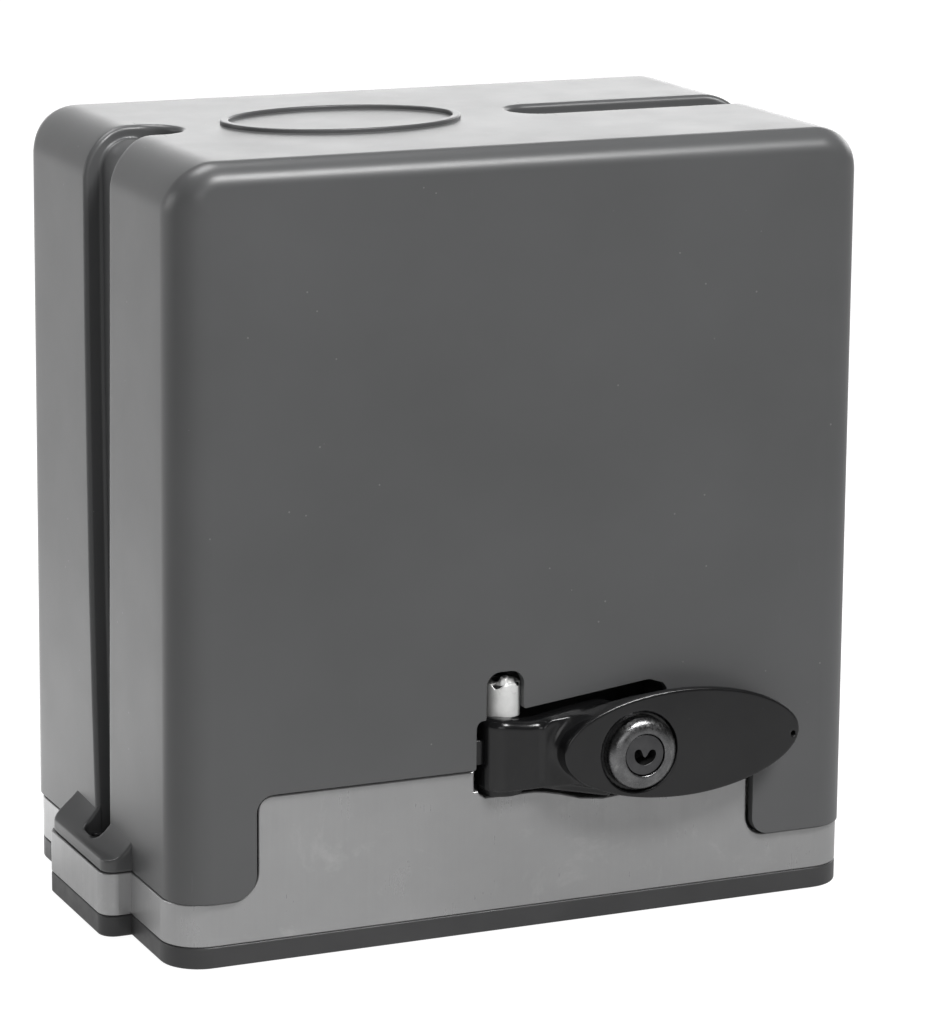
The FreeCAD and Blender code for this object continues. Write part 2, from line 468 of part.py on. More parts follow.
term = term.cut([box(21.2 + 5.8 * i, 24.6 + 5.8 * i, -58.6, -54.8, 113, 118) for i in range(10)])
put("terminal_block", term)
for x in (20, 44):
    put("relays", rrect(x, x + 19.5, -61, -50.0, 1.0, 176, 191.5))
put("board_capacitors", *[fuse(cyly(x, z, 5.0, -60, -50.0)) for x, z in ((72, 184), (72, 168), (58, 160))])
put("board_chips", box(20, 48, -53.4, -50.0, 150, 158), box(20, 40, -56.0, -50.0, 198, 208),
    box(66, 78, -55, -50.0, 196, 206))
fuse_c = fuse(cylx(-54.4, 138, 2.6, 22, 42), box(20, 23.4, -58.2, -50.0, 134.6, 141.4), box(40.6, 44, -58.2, -50.0, 134.6, 141.4))
put("fuse_holder", fuse_c)

# ---------------------------------------------------------------- limit sensor, grommet, leads
sensor = rrect(-20, 10, 50.5, 62.4, 2, 100, 116).cut(box(-12, 2, 49, 53, 105, 112))
put("limit_sensor", sensor)
grommet = fuse(ringz(CABLE_X, CABLE_Y, 11.9, 8.0, 4.0, 13.5), ringz(CABLE_X, CABLE_Y, 14.0, 8.0, FLOOR_TOP, 15.2))
put("cable_grommet", grommet)
LEAD_Z = 111.7
for i in range(3):
    y0, x1, y1, x2 = -18.4 - 2.4 * i, 1.8 - 2.4 * i, -52.6 - 2.4 * i, 22.9 + 5.8 * i
    put("motor_leads", tube([(-8.5, y0, LEAD_Z), (x1, y0, LEAD_Z), (x1, y1, LEAD_Z), (x2, y1, LEAD_Z), (x2, y1, 114.0)], 2.1, 1.0))
put("sensor_lead", tube([(10.02, 56, 112), (95, 56, 112), (95, -55, 112), (74, -55, 112), (74, -55, 115.0)][:4], 6.0, 1.3).fuse(
    cylz(74, -55, 1.3, 112, 114.0)).removeSplitter())

# ---------------------------------------------------------------- cover


def profile(inset, z0, top):
    """Front outline of the cover, drawn in by inset, closed at z0: slightly tapered sides and large top corners."""
    hb, ht, r = COVER_HALF_BOT - inset, COVER_HALF_TOP - inset, COVER_R_SIDE - inset
    ps = [V(-hb, 0, z0), V(-ht, 0, top), V(ht, 0, top), V(hb, 0, z0)]
    w = Part.makePolygon(ps + ps[:1])
    return w, r


def shell(inset, z0, y_in, fillet):
    top = COVER_H - inset
    w, r = profile(inset, z0, top)
    s = Part.Face(w).extrude(V(0, 2 * (COVER_HALF_D - y_in), 0))
    s.translate(V(0, -(COVER_HALF_D - y_in), 0))
    s = s.makeFillet(r, edges_where(s, lambda e: e.BoundBox.ZMin > top - 1 and e.BoundBox.XLength < 1))
    if fillet:
        yy = COVER_HALF_D - y_in
        s = s.makeFillet(fillet, edges_where(s, lambda e: abs(abs(e.BoundBox.YMin) - yy) < 1e-3 and e.BoundBox.YLength < 1e-3
                                             and e.BoundBox.ZMax > z0 + 1))
    return s


def groove(side, grow, core_inset):
    """Everything in one side groove and its slot across the top: side -1 or 1, grown by the wall for the inner skin."""
    lo, hi = 11.6 / 2 + grow, 24.5 / 2 + grow
    cy0 = -3.0
    pts = [(cy0 - lo, 10), (cy0 - hi + 1.0, 205), (-7.6 - grow, 226), (-7.6 - grow, 250), (11.6 + grow, 250),
           (11.6 + grow, 226), (cy0 + hi + 1.0, 205), (cy0 + lo, 10)]
    tip = -82.0 if side < 0 else 23.4
    r = 9.6 + grow
    if side < 0:
        s = prism(pts, "x", -125, tip - 9.6)
        c = cylz(tip - 9.6, 2.0, r, 215, 250)
    else:
        s = prism(pts, "x", tip + 9.6, 125)
        c = cylz(tip + 9.6, 2.0, r, 215, 250)
    s = s.fuse(c)
    core_wide = Part.Face(profile(core_inset, 5.0, COVER_H - core_inset)[0]).extrude(V(0, 200, 0))
    core_wide.translate(V(0, -100, 0))
    top = COVER_H - core_inset
    core_wide = core_wide.makeFillet(COVER_R_SIDE - core_inset, edges_where(
        core_wide, lambda e: e.BoundBox.ZMin > top - 1 and e.BoundBox.XLength < 1))
    return s.cut(core_wide)


outer = shell(0, COVER_Z0, 0, COVER_R_FACE)
outer = outer.cut([groove(-1, 0, GROOVE_D), groove(1, 0, GROOVE_D)])
bumps = []
for s in (-1, 1):
    pts = [(100, COVER_Z0), (TAB_OUT, COVER_Z0), (TAB_OUT, 24.4), (115.5, 25.6), (112.0, 27.6), (109.0, 30.2), (100, 30.2)]
    b = prism([(s * x, z) for x, z in pts], "y", TAB_Y0, TAB_Y1)
    b = b.makeFillet(4.0, edges_where(b, lambda e: e.BoundBox.ZLength > 3.5 and e.BoundBox.XLength < 1e-3
                                      and abs(abs(e.BoundBox.XMin) - TAB_OUT) < 1e-3))
    bumps.append(b)
outer = outer.fuse(bumps).removeSplitter()
inner = shell(COVER_T, 5.0, COVER_T, 5.0)
inner = inner.cut([groove(-1, COVER_T, GROOVE_D + COVER_T), groove(1, COVER_T, GROOVE_D + COVER_T)])
cover = outer.cut(inner)
for s in (-1, 1):
    x = s * SCREW_X
    notch = box(min(s * 104.2, x), max(s * 104.2, x), SCREW_Y - 5.6, SCREW_Y + 5.6, 23.0, 45)
    cover = cover.cut([notch.fuse(cylz(x, SCREW_Y, 5.6, 23.0, 45)), cylz(x, SCREW_Y, 2.1, 15, 30)])
    pad = box(min(s * 102.5, s * 111), max(s * 102.5, s * 111), SCREW_Y - 9, SCREW_Y + 9, COVER_Z0, 23.0)
    cover = cover.fuse(pad.cut(cylz(x, SCREW_Y, 2.1, 15, 30)))
cover = cover.removeSplitter()
# cut-outs, all open at the bottom so that the cover lifts straight off
front = prism([(-91.5, COVER_Z0 - 1), (-91.5, COVER_Z0 + 0.2), (-87.0, 22.2), (-85.2, 27.0), (-85.2, 51.0), (-16.3, 51.0),
               (-16.3, 66.2), (-15.8, 67.5), (-14.9, 68.2), (-13.2, 68.5), (-13.2, 76.0), (-11.8, 79.0), (-9.0, 80.2), (-5.2, 80.2),
               (-2.4, 79.0), (-1.2, 76.0), (-1.2, 68.2), (39.9, 73.0), (43.6, 72.0), (46.0, 68.5), (46.0, 51.0), (75.8, 51.0),
               (75.8, 25.5), (77.4, 22.2), (81.0, COVER_Z0), (81.0, COVER_Z0 - 1)], "y", -80, -57.5)
rear = box(BACK_X0 - 1.2, BACK_X1 + 1.2, 57.5, 80, 10, BACK_TOP + 0.8)
cover = cover.cut([front, rear, cylz(HX, HY, SWEEP_R, 44.0, 67.2)])
# raised oval on the top, left plain
oval = Part.Face(Part.Wire(Part.Ellipse(V(-29, 4, COVER_H - 0.4), 39.0, 26.0).toShape())).extrude(V(0, 0, 1.7))
hollow = Part.Face(Part.Wire(Part.Ellipse(V(-29, 4, COVER_H + 0.6), 36.0, 23.0).toShape())).extrude(V(0, 0, 3))
cover = cover.fuse(oval.cut(hollow)).removeSplitter()
put("cover", cover)
for s in (-1, 1):
    x = s * SCREW_X
    put("cover_screws", fuse(cylz(x, SCREW_Y, 2.0, 9.0, 23.2), cylz(x, SCREW_Y, 4.3, 23.05, 25.6)).cut(
        fuse(box(x - 2.6, x + 2.6, SCREW_Y - 0.5, SCREW_Y + 0.5, 24.2, 27), box(x - 0.5, x + 0.5, SCREW_Y - 2.6, SCREW_Y + 2.6, 24.2, 27))))

# ---------------------------------------------------------------- release lever
# its cam rises evenly by RELEASE_TRAVEL over the quarter turn, and ends in a flat
cam = []
n = 24
for i in range(n + 1):
    ph = math.pi / 2 * i / n
    r = 5.0 + RELEASE_TRAVEL * i / n
    cam.append((HX - r * math.sin(ph), HY + r * math.cos(ph)))
corner = [(HX - 2.4 + 5.6 * math.cos(math.radians(a)), HY - 4.4 + 5.6 * math.sin(math.radians(a))) for a in range(180, 271, 15)]
rootpts = cam + corner + [(HX + 22, HY - 10), (HX + 22, HY - 2), (HX + 13.4, HY - 2), (HX + 11, HY + 5)]
root_p = prism(rootpts, "z", LEVER_Z0, LEVER_Z1)
neck = prism([(6, 46.0), (14, 44.6), (38, 43.6), (43.4, 48), (43.4, 62), (38, 66.8), (14, 66.4), (6, 65.4)], "y", PAD_Y1 - 0.5, -64.6)
pad = Part.Face(Part.Wire(Part.Ellipse(V(0, 0, 0), PAD_A, PAD_B).toShape())).extrude(V(0, 0, PAD_Y1 - PAD_Y0))
pad.rotate(V(0, 0, 0), V(1, 0, 0), -90)
pad.translate(V(PAD_X, PAD_Y0, PAD_Z))
pad = pad.makeFillet(1.6, edges_where(pad, lambda e: abs(e.BoundBox.YMin - PAD_Y0) < 1e-3 and e.BoundBox.XLength > 50))
lever = fuse(root_p, neck, pad)
lever = lever.cut([cylz(HX, HY, 3.05, 30, 80), cyly(LOCK_X, LOCK_Z, 9.6, -90, -50), cyly(82.6, 54.6, 0.9, -90, -60)])
put("release_lever", lever)
put("pivot_pin", fuse(cylz(HX, HY, 3.0, 29.0, 78.2), cylz(HX, HY, 3.9, 75.35, 77.0)))
put("pivot_washer", ringz(HX, HY, 6.6, 3.04, RECESS_Z + 0.02, LEVER_Z0 - 0.08))

# ---------------------------------------------------------------- cam lock in the lever
ring = fuse(ringy(LOCK_X, LOCK_Z, 11.6, 6.75, -80.0, PAD_Y0), Part.makeCone(9.6, 11.6, 2.0, V(LOCK_X, -82.0, LOCK_Z), V(0, 1, 0)).cut(
    cyly(LOCK_X, LOCK_Z, 6.75, -90, -70)))
put("lock_ring", ring)
put("lock_body", ringy(LOCK_X, LOCK_Z, 9.5, 6.75, PAD_Y0 + 0.02, -60.4))
put("lock_nut", hexprism(LOCK_X, -64.5, LOCK_Z, 22, 3.0, "y").cut(cyly(LOCK_X, LOCK_Z, 9.52, -70, -55)))
plug = fuse(cyly(LOCK_X, LOCK_Z, 6.65, -81.6, -60.2), box(LOCK_X - 3.5, LOCK_X + 3.5, -60.3, -57.5, LOCK_Z - 3.5, LOCK_Z + 3.5))
key = fuse(cyly(LOCK_X, LOCK_Z, 3.3, -83, -72)).cut(box(LOCK_X - 1.2, LOCK_X + 1.2, -84, -70, LOCK_Z + 0.2, LOCK_Z + 4))
key = rotated(key, (LOCK_X, 0, LOCK_Z), (0, 1, 0), 12)
plug = plug.cut([key, cyly(LOCK_X, LOCK_Z, 2.0, -66, -50)])
put("lock_plug", plug)
lock_cam = fuse(cyly(LOCK_X, LOCK_Z, 7.0, -59.9, -57.6), box(LOCK_X - 20.5, LOCK_X, -59.9, -57.6, LOCK_Z - 5, LOCK_Z + 5))
lock_cam = lock_cam.cut(box(LOCK_X - 3.55, LOCK_X + 3.55, -62, -55, LOCK_Z - 3.55, LOCK_Z + 3.55))
put("lock_cam", lock_cam)
put("cam_screw", fuse(cyly(LOCK_X, LOCK_Z, 1.95, -65, -57.4), hexprism(LOCK_X, -57.5, LOCK_Z, 9, 3, "y")))

# ---------------------------------------------------------------- output
for name, solids in NODES.items():
    for s in solids:
        if not s.isValid() or s.Volume <= 0:
            print("bad solid in", name, s.isValid(), s.Volume)
    shape = solids[0] if len(solids) == 1 else Part.makeCompound(solids)
    shape.exportStep("parts/%s.step" % name)
print(len(NODES), "nodes", {k: len(v) for k, v in NODES.items()})
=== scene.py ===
import json
import math

import bmesh
import bpy
import numpy as np
from mathutils import Matrix, Vector, noise


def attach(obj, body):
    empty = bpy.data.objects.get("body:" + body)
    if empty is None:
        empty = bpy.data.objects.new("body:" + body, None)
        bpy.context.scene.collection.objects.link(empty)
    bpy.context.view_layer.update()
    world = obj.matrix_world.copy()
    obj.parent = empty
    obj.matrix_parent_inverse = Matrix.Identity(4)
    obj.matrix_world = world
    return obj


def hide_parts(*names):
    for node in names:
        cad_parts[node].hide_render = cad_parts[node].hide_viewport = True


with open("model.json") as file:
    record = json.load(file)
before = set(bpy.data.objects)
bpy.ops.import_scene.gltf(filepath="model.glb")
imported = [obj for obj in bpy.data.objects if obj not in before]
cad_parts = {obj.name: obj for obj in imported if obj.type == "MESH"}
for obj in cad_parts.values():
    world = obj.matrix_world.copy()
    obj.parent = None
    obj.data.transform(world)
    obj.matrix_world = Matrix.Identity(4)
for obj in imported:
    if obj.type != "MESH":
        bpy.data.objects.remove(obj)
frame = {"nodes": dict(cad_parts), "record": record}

for _n in ("Cube", "Light", "Camera"):          # a new file's own three objects, where it has them
    if _n in bpy.data.objects:
        bpy.data.objects.remove(bpy.data.objects[_n])


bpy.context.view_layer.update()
MM = 0.001
rng = np.random.default_rng(7)

# =====================================================================================
# materials
# =====================================================================================


def new_mat(name):
    m = bpy.data.materials.new(name)
    m.use_nodes = True
    nt = m.node_tree
    nt.nodes.clear()
    out = nt.nodes.new("ShaderNodeOutputMaterial")
    b = nt.nodes.new("ShaderNodeBsdfPrincipled")
    nt.links.new(b.outputs[0], out.inputs[0])
    return m, nt, b


def coords(nt, scale=(1, 1, 1), rot=(0, 0, 0)):
    tc = nt.nodes.new("ShaderNodeTexCoord")
    mp = nt.nodes.new("ShaderNodeMapping")
    mp.inputs["Scale"].default_value = scale
    mp.inputs["Rotation"].default_value = rot
    nt.links.new(tc.outputs["Object"], mp.inputs["Vector"])
    return mp.outputs[0]


def noise_tex(nt, vec, scale, detail=4.0, rough=0.55, distortion=0.0):
    n = nt.nodes.new("ShaderNodeTexNoise")
    n.inputs["Scale"].default_value = scale
    n.inputs["Detail"].default_value = detail
    n.inputs["Roughness"].default_value = rough
    n.inputs["Distortion"].default_value = distortion
    nt.links.new(vec, n.inputs["Vector"])
    return n.outputs["Fac"]


def voronoi(nt, vec, scale, feature="F1"):
    n = nt.nodes.new("ShaderNodeTexVoronoi")
    n.feature = feature
    n.inputs["Scale"].default_value = scale
    nt.links.new(vec, n.inputs["Vector"])
    return n.outputs["Distance"]


def remap(nt, fac, lo, hi, a, b):
    n = nt.nodes.new("ShaderNodeMapRange")
    n.inputs["From Min"].default_value = lo
    n.inputs["From Max"].default_value = hi
    n.inputs["To Min"].default_value = a
    n.inputs["To Max"].default_value = b
    nt.links.new(fac, n.inputs["Value"])
    return n.outputs[0]


def math_node(nt, op, a, b=None, clamp=False):
    n = nt.nodes.new("ShaderNodeMath")
    n.operation = op
    n.use_clamp = clamp
    for i, v in enumerate((a, b)):
        if v is None:
            continue
        if isinstance(v, (int, float)):
            n.inputs[i].default_value = v
        else:
            nt.links.new(v, n.inputs[i])
    return n.outputs[0]


def ramp(nt, fac, stops):
    n = nt.nodes.new("ShaderNodeValToRGB")
    els = n.color_ramp.elements
    while len(els) < len(stops):
        els.new(0.5)
    for e, (p, c) in zip(els, stops):
        e.position = p
        e.color = (*c, 1.0) if len(c) == 3 else c
    nt.links.new(fac, n.inputs[0])
    return n.outputs[0]


def mix_col(nt, fac, a, b, mode="MIX"):
    n = nt.nodes.new("ShaderNodeMix")
    n.data_type = "RGBA"
    n.blend_type = mode
    for sock, v in ((0, fac), (6, a), (7, b)):
        if isinstance(v, (int, float)):
            n.inputs[sock].default_value = v
        elif isinstance(v, tuple):
            n.inputs[sock].default_value = (*v, 1.0) if len(v) == 3 else v
        else:
            nt.links.new(v, n.inputs[sock])
    return n.outputs[2]


def bump(nt, height, strength, distance, prev=None):
    n = nt.nodes.new("ShaderNodeBump")
    n.inputs["Strength"].default_value = strength
    n.inputs["Distance"].default_value = distance
    nt.links.new(height, n.inputs["Height"])
    if prev is not None:
        nt.links.new(prev, n.inputs["Normal"])
    return n.outputs[0]


def moulded(name, dark, light, rough=(0.38, 0.5), grain=900.0, grain_bump=0.12, cloud=14.0, specks=None, spec=0.5, coat=0.0,
            scratch=0.0):
    """Moulded plastic: cloudy colour, fine grain, faint sink waves, a few specks and hairline scratches."""
    m, nt, b = new_mat(name)
    v = coords(nt)
    big = noise_tex(nt, v, cloud, 5.0, 0.6)
    fine = noise_tex(nt, v, grain, 3.0, 0.6)
    col = ramp(nt, big, [(0.30, dark), (0.72, light)])
    if specks:
        vo = voronoi(nt, v, specks[0])
        keep = noise_tex(nt, v, specks[0] * 0.21, 1.0, 0.5)
        s = math_node(nt, "LESS_THAN", vo, specks[1])
        s = math_node(nt, "MULTIPLY", s, math_node(nt, "GREATER_THAN", keep, 0.60))
        col = mix_col(nt, s, col, specks[2])
    if scratch:
        w = coords(nt, (1.0, 1.0, 0.06), (0.5, 0.35, 0.9))
        sc = noise_tex(nt, w, 420.0, 6.0, 0.75, 0.2)
        sc = remap(nt, sc, 0.66, 0.74, 0.0, scratch)
        col = mix_col(nt, sc, col, tuple(min(1.0, c * 2.2 + 0.05) for c in light))
    nt.links.new(col, b.inputs["Base Color"])
    r = remap(nt, noise_tex(nt, v, cloud * 5.3, 6.0, 0.65), 0.3, 0.7, rough[0], rough[1])
    nt.links.new(r, b.inputs["Roughness"])
    n1 = bump(nt, fine, grain_bump, 0.00012)
    n2 = bump(nt, noise_tex(nt, v, cloud * 2.1, 2.0, 0.5), 0.10, 0.0010, n1)
    nt.links.new(n2, b.inputs["Normal"])
    b.inputs["Specular IOR Level"].default_value = spec
    b.inputs["Coat Weight"].default_value = coat
    b.inputs["Coat Roughness"].default_value = 0.12
    return m


def metal(name, dark, light, rough=(0.3, 0.45), streak=None, streak_amount=0.35, grain=1200.0, grain_bump=0.08, cloud=22.0,
          stains=0.0, stain_col=(0.2, 0.19, 0.18), aniso=0.0, metallic=1.0):
    """Metal: cloudy tone, machining or drawing streaks along one axis, fine grain, optional stains."""
    m, nt, b = new_mat(name)
    v = coords(nt)
    b.inputs["Metallic"].default_value = metallic
    big = noise_tex(nt, v, cloud, 6.0, 0.62)
    col = ramp(nt, big, [(0.28, dark), (0.74, light)])
    r = remap(nt, noise_tex(nt, v, cloud * 3.7, 5.0, 0.6), 0.3, 0.7, rough[0], rough[1])
    norm = None
    if streak:
        sc = {"x": (0.03, 1, 1), "y": (1, 0.03, 1), "z": (1, 1, 0.03)}[streak]
        st = noise_tex(nt, coords(nt, sc), 900.0, 5.0, 0.7)
        col = mix_col(nt, remap(nt, st, 0.35, 0.65, 0.0, streak_amount), col, tuple(c * 0.72 for c in dark))
        r = math_node(nt, "ADD", r, remap(nt, st, 0.3, 0.7, -0.05, 0.06))
        norm = bump(nt, st, 0.06, 0.0002)
    if stains:
        sn = noise_tex(nt, v, cloud * 1.7, 8.0, 0.72, 0.6)
        sf = remap(nt, sn, 0.56, 0.68, 0.0, stains)
        col = mix_col(nt, sf, col, stain_col)
        r = math_node(nt, "ADD", r, math_node(nt, "MULTIPLY", sf, 0.25))
    nt.links.new(col, b.inputs["Base Color"])
    nt.links.new(r, b.inputs["Roughness"])
    n = bump(nt, noise_tex(nt, v, grain, 3.0, 0.6), grain_bump, 0.00015, norm)
    nt.links.new(n, b.inputs["Normal"])
    b.inputs["Anisotropic"].default_value = aniso
    return m


M = {}
M["cover"] = moulded("cover_grey", (0.077, 0.078, 0.079), (0.094, 0.095, 0.097), rough=(0.332, 0.368), grain=1500.0,
                     grain_bump=0.10, cloud=9.0, specks=(190.0, 0.055, (0.17, 0.17, 0.17)), spec=0.5, scratch=0.06)
M["base"] = moulded("base_dark", (0.038, 0.038, 0.039), (0.050, 0.050, 0.051), rough=(0.34, 0.48), grain=1100.0, grain_bump=0.2,
                    cloud=30.0, spec=0.4)
M["case"] = metal("case_aluminium", (0.342, 0.342, 0.344), (0.395, 0.395, 0.397), rough=(0.27, 0.40), streak="z",
                  streak_amount=0.03, cloud=20.0, stains=0.35, stain_col=(0.56, 0.56, 0.555), grain_bump=0.14, metallic=0.7)
M["bright"] = metal("bright_cast", (0.72, 0.72, 0.71), (0.86, 0.86, 0.85), rough=(0.42, 0.58), cloud=190.0, grain=2600.0,
                    grain_bump=0.35, stains=0.35, stain_col=(0.52, 0.51, 0.50), metallic=0.35)
M["shield"] = metal("end_shield_cast", (0.40, 0.40, 0.403), (0.52, 0.52, 0.523), rough=(0.36, 0.50), cloud=70.0, grain=1800.0,
                    grain_bump=0.3, stains=0.25, stain_col=(0.30, 0.30, 0.295), metallic=0.8)
# bearing cap: painted shade, near-black so the gearbox inside, seen through the lever's opening, reads as lying in
# shadow
M["cast_painted_shade"] = metal("bearing_cap_painted_shade", (0.045, 0.045, 0.046), (0.070, 0.070, 0.070), rough=(0.45, 0.6), cloud=60.0,
                       grain=1500.0, grain_bump=0.4)
M["black_oxide"] = metal("black_oxide_screw", (0.05, 0.05, 0.052), (0.085, 0.085, 0.088), rough=(0.34, 0.5), cloud=180.0,
                         grain=2200.0, grain_bump=0.3, stains=0.3, stain_col=(0.16, 0.15, 0.14))
# keyway faces: the plug's metal painted near-black, painted shade standing in for the shadow inside the deep slot
M["key_slot"] = moulded("key_slot_painted_shade", (0.003, 0.003, 0.003), (0.007, 0.007, 0.007), rough=(0.55, 0.7), cloud=160.0)
M["lever"] = moulded("lever_black", (0.006, 0.006, 0.0065), (0.0105, 0.0105, 0.011), rough=(0.17, 0.27), grain=2600.0,
                     grain_bump=0.04, cloud=42.0, specks=(420.0, 0.05, (0.06, 0.06, 0.06)), spec=0.49, coat=0.0, scratch=0.10)
M["ring"] = metal("lock_black_chrome", (0.11, 0.11, 0.113), (0.25, 0.25, 0.253), rough=(0.16, 0.38), cloud=210.0, grain=3400.0,
                  grain_bump=0.25, stains=0.5, stain_col=(0.40, 0.40, 0.39))
M["plug"] = metal("lock_plug_dark", (0.085, 0.085, 0.088), (0.125, 0.125, 0.128), rough=(0.30, 0.45), cloud=160.0, grain=3000.0,
                  grain_bump=0.15, stains=0.3, stain_col=(0.18, 0.18, 0.175))
M["steel"] = metal("ground_steel", (0.33, 0.335, 0.34), (0.43, 0.435, 0.44), rough=(0.22, 0.36), streak="y", streak_amount=0.3,
                   cloud=70.0)
M["zinc"] = metal("zinc_plate", (0.36, 0.365, 0.355), (0.49, 0.49, 0.465), rough=(0.28, 0.44), cloud=150.0, stains=0.2,
                  stain_col=(0.40, 0.38, 0.30))
M["bronze"] = metal("bronze", (0.48, 0.30, 0.11), (0.66, 0.45, 0.19), rough=(0.26, 0.42), streak="y", streak_amount=0.3, cloud=80.0)
M["pinion"] = metal("pinion_zinc", (0.28, 0.28, 0.272), (0.38, 0.38, 0.368), rough=(0.30, 0.46), streak="y", streak_amount=0.25,
                    cloud=60.0, stains=0.35, stain_col=(0.16, 0.13, 0.09))
M["lamination"] = metal("laminated_steel", (0.10, 0.10, 0.11), (0.17, 0.17, 0.18), rough=(0.42, 0.58), streak="x",
                        streak_amount=0.5, cloud=40.0)
M["can"] = metal("drawn_can", (0.60, 0.60, 0.61), (0.74, 0.74, 0.75), rough=(0.20, 0.34), streak="z", streak_amount=0.3, cloud=40.0)
M["black"] = moulded("black_moulding", (0.018, 0.018, 0.019), (0.032, 0.032, 0.033), rough=(0.42, 0.58), cloud=40.0)
M["white"] = moulded("white_moulding", (0.60, 0.60, 0.57), (0.72, 0.72, 0.69), rough=(0.32, 0.46), cloud=60.0)
M["green_term"] = moulded("terminal_green", (0.02, 0.17, 0.05), (0.03, 0.24, 0.08), rough=(0.32, 0.46), cloud=60.0)
M["blue"] = moulded("relay_blue", (0.012, 0.045, 0.20), (0.02, 0.07, 0.28), rough=(0.26, 0.38), cloud=60.0)
M["rubber"] = moulded("black_rubber", (0.012, 0.012, 0.012), (0.024, 0.024, 0.023), rough=(0.60, 0.78), cloud=70.0, grain_bump=0.25)
M["wire"] = moulded("grey_wire", (0.10, 0.10, 0.11), (0.16, 0.16, 0.17), rough=(0.42, 0.56), cloud=50.0)
M["board"] = moulded("solder_mask", (0.006, 0.070, 0.026), (0.010, 0.105, 0.040), rough=(0.24, 0.36), cloud=120.0, coat=0.2)


def winding_mat():
    m, nt, b = new_mat("enamelled_winding")
    w = nt.nodes.new("ShaderNodeTexWave")
    w.wave_type = "RINGS"
    w.rings_direction = "Z"
    w.inputs["Scale"].default_value = 900.0
    w.inputs["Distortion"].default_value = 2.2
    tc = nt.nodes.new("ShaderNodeTexCoord")
    mp = nt.nodes.new("ShaderNodeMapping")
    mp.inputs["Location"].default_value = (0.0476, -0.002, 0)
    nt.links.new(tc.outputs["Object"], mp.inputs["Vector"])
    nt.links.new(mp.outputs[0], w.inputs["Vector"])
    col = ramp(nt, w.outputs["Fac"], [(0.2, (0.10, 0.028, 0.008)), (0.8, (0.42, 0.15, 0.04))])
    nt.links.new(col, b.inputs["Base Color"])
    b.inputs["Metallic"].default_value = 0.55
    nt.links.new(remap(nt, w.outputs["Fac"], 0, 1, 0.5, 0.28), b.inputs["Roughness"])
    nt.links.new(bump(nt, w.outputs["Fac"], 0.8, 0.0005), b.inputs["Normal"])
    return m


def tape_mat():
    m, nt, b = new_mat("coil_tape_yellow")
    w = nt.nodes.new("ShaderNodeTexWave")
    w.bands_direction = "Z"
    w.inputs["Scale"].default_value = 60.0
    w.inputs["Distortion"].default_value = 1.0
    nt.links.new(coords(nt), w.inputs["Vector"])
    n = noise_tex(nt, coords(nt), 60.0, 5.0, 0.6)
    col = ramp(nt, n, [(0.3, (0.38, 0.26, 0.05)), (0.7, (0.55, 0.40, 0.09))])
    col = mix_col(nt, remap(nt, w.outputs["Fac"], 0.86, 0.95, 0.0, 0.6), col, (0.22, 0.14, 0.03))
    nt.links.new(col, b.inputs["Base Color"])
    nt.links.new(remap(nt, n, 0.3, 0.7, 0.30, 0.46), b.inputs["Roughness"])
    nt.links.new(bump(nt, w.outputs["Fac"], 0.3, 0.0004), b.inputs["Normal"])
    return m


M["winding"] = winding_mat()
M["tape"] = tape_mat()

SLOT_MAT = {"grey_moulding": "cover", "dark_moulding": "base", "cast_case": "case", "bright_cast": "bright", "steel": "steel",
            "zinc_steel": "zinc", "bronze": "bronze", "pinion_steel": "pinion", "lamination": "lamination",
            "copper_wire": "winding", "black_gloss": "lever", "black_plastic": "black", "white_plastic": "white",
            "green_board": "board", "terminal_green": "green_term", "relay_blue": "blue", "seal_rubber": "rubber",
            "wire_grey": "wire", "dark_chrome": "ring", "can_metal": "can", "coil_tape": "tape"}
node_slot = {s["node"]: s["material_slot"] for s in frame["record"]["subparts"]}
# own materials by node; the bearing cap's near-black one is painted shade
OWN = {"motor_end_shield": "shield", "bearing_cap": "cast_painted_shade", "cap_screws": "black_oxide", "cover_screws": "black_oxide"}
for n, o in frame["nodes"].items():
    o.data.materials.clear()
    o.data.materials.append(M[OWN.get(n, SLOT_MAT[node_slot[n]])])

# =====================================================================================
# mesh helpers
# =====================================================================================


def make_obj(name, verts, faces, mat, body, smooth=True, merge=None):
    """verts in millimetres."""
    me = bpy.data.meshes.new(name)
    me.from_pydata([tuple(float(c) * MM for c in v) for v in verts], [], [tuple(int(i) for i in f) for f in faces])
    me.update()
    if merge:
        bm = bmesh.new()
        bm.from_mesh(me)
        bmesh.ops.remove_doubles(bm, verts=bm.verts, dist=merge * MM)
        bmesh.ops.dissolve_degenerate(bm, edges=bm.edges, dist=merge * MM * 0.5)
        bmesh.ops.recalc_face_normals(bm, faces=bm.faces)
        bm.to_mesh(me)
        bm.free()
    for p in me.polygons:
        p.use_smooth = smooth
    o = bpy.data.objects.new(name, me)
    bpy.context.scene.collection.objects.link(o)
    me.materials.append(M[mat])
    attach(o, body)
    return o


def apply_mods(o):
    bpy.context.view_layer.update()
    dg = bpy.context.evaluated_depsgraph_get()
    me = bpy.data.meshes.new_from_object(o.evaluated_get(dg))
    old = o.data
    o.modifiers.clear()
    o.data = me
    bpy.data.meshes.remove(old)


def bevel(o, width, segments=2, angle=40.0, weighted=True):
    b = o.modifiers.new("bevel", "BEVEL")
    b.width = width * MM
    b.segments = segments
    b.limit_method = "ANGLE"
    b.angle_limit = math.radians(angle)
    b.harden_normals = False
    b.miter_outer = "MITER_ARC"
    if weighted:
        w = o.modifiers.new("wn", "WEIGHTED_NORMAL")
        w.keep_sharp = True
        w.weight = 100
    apply_mods(o)


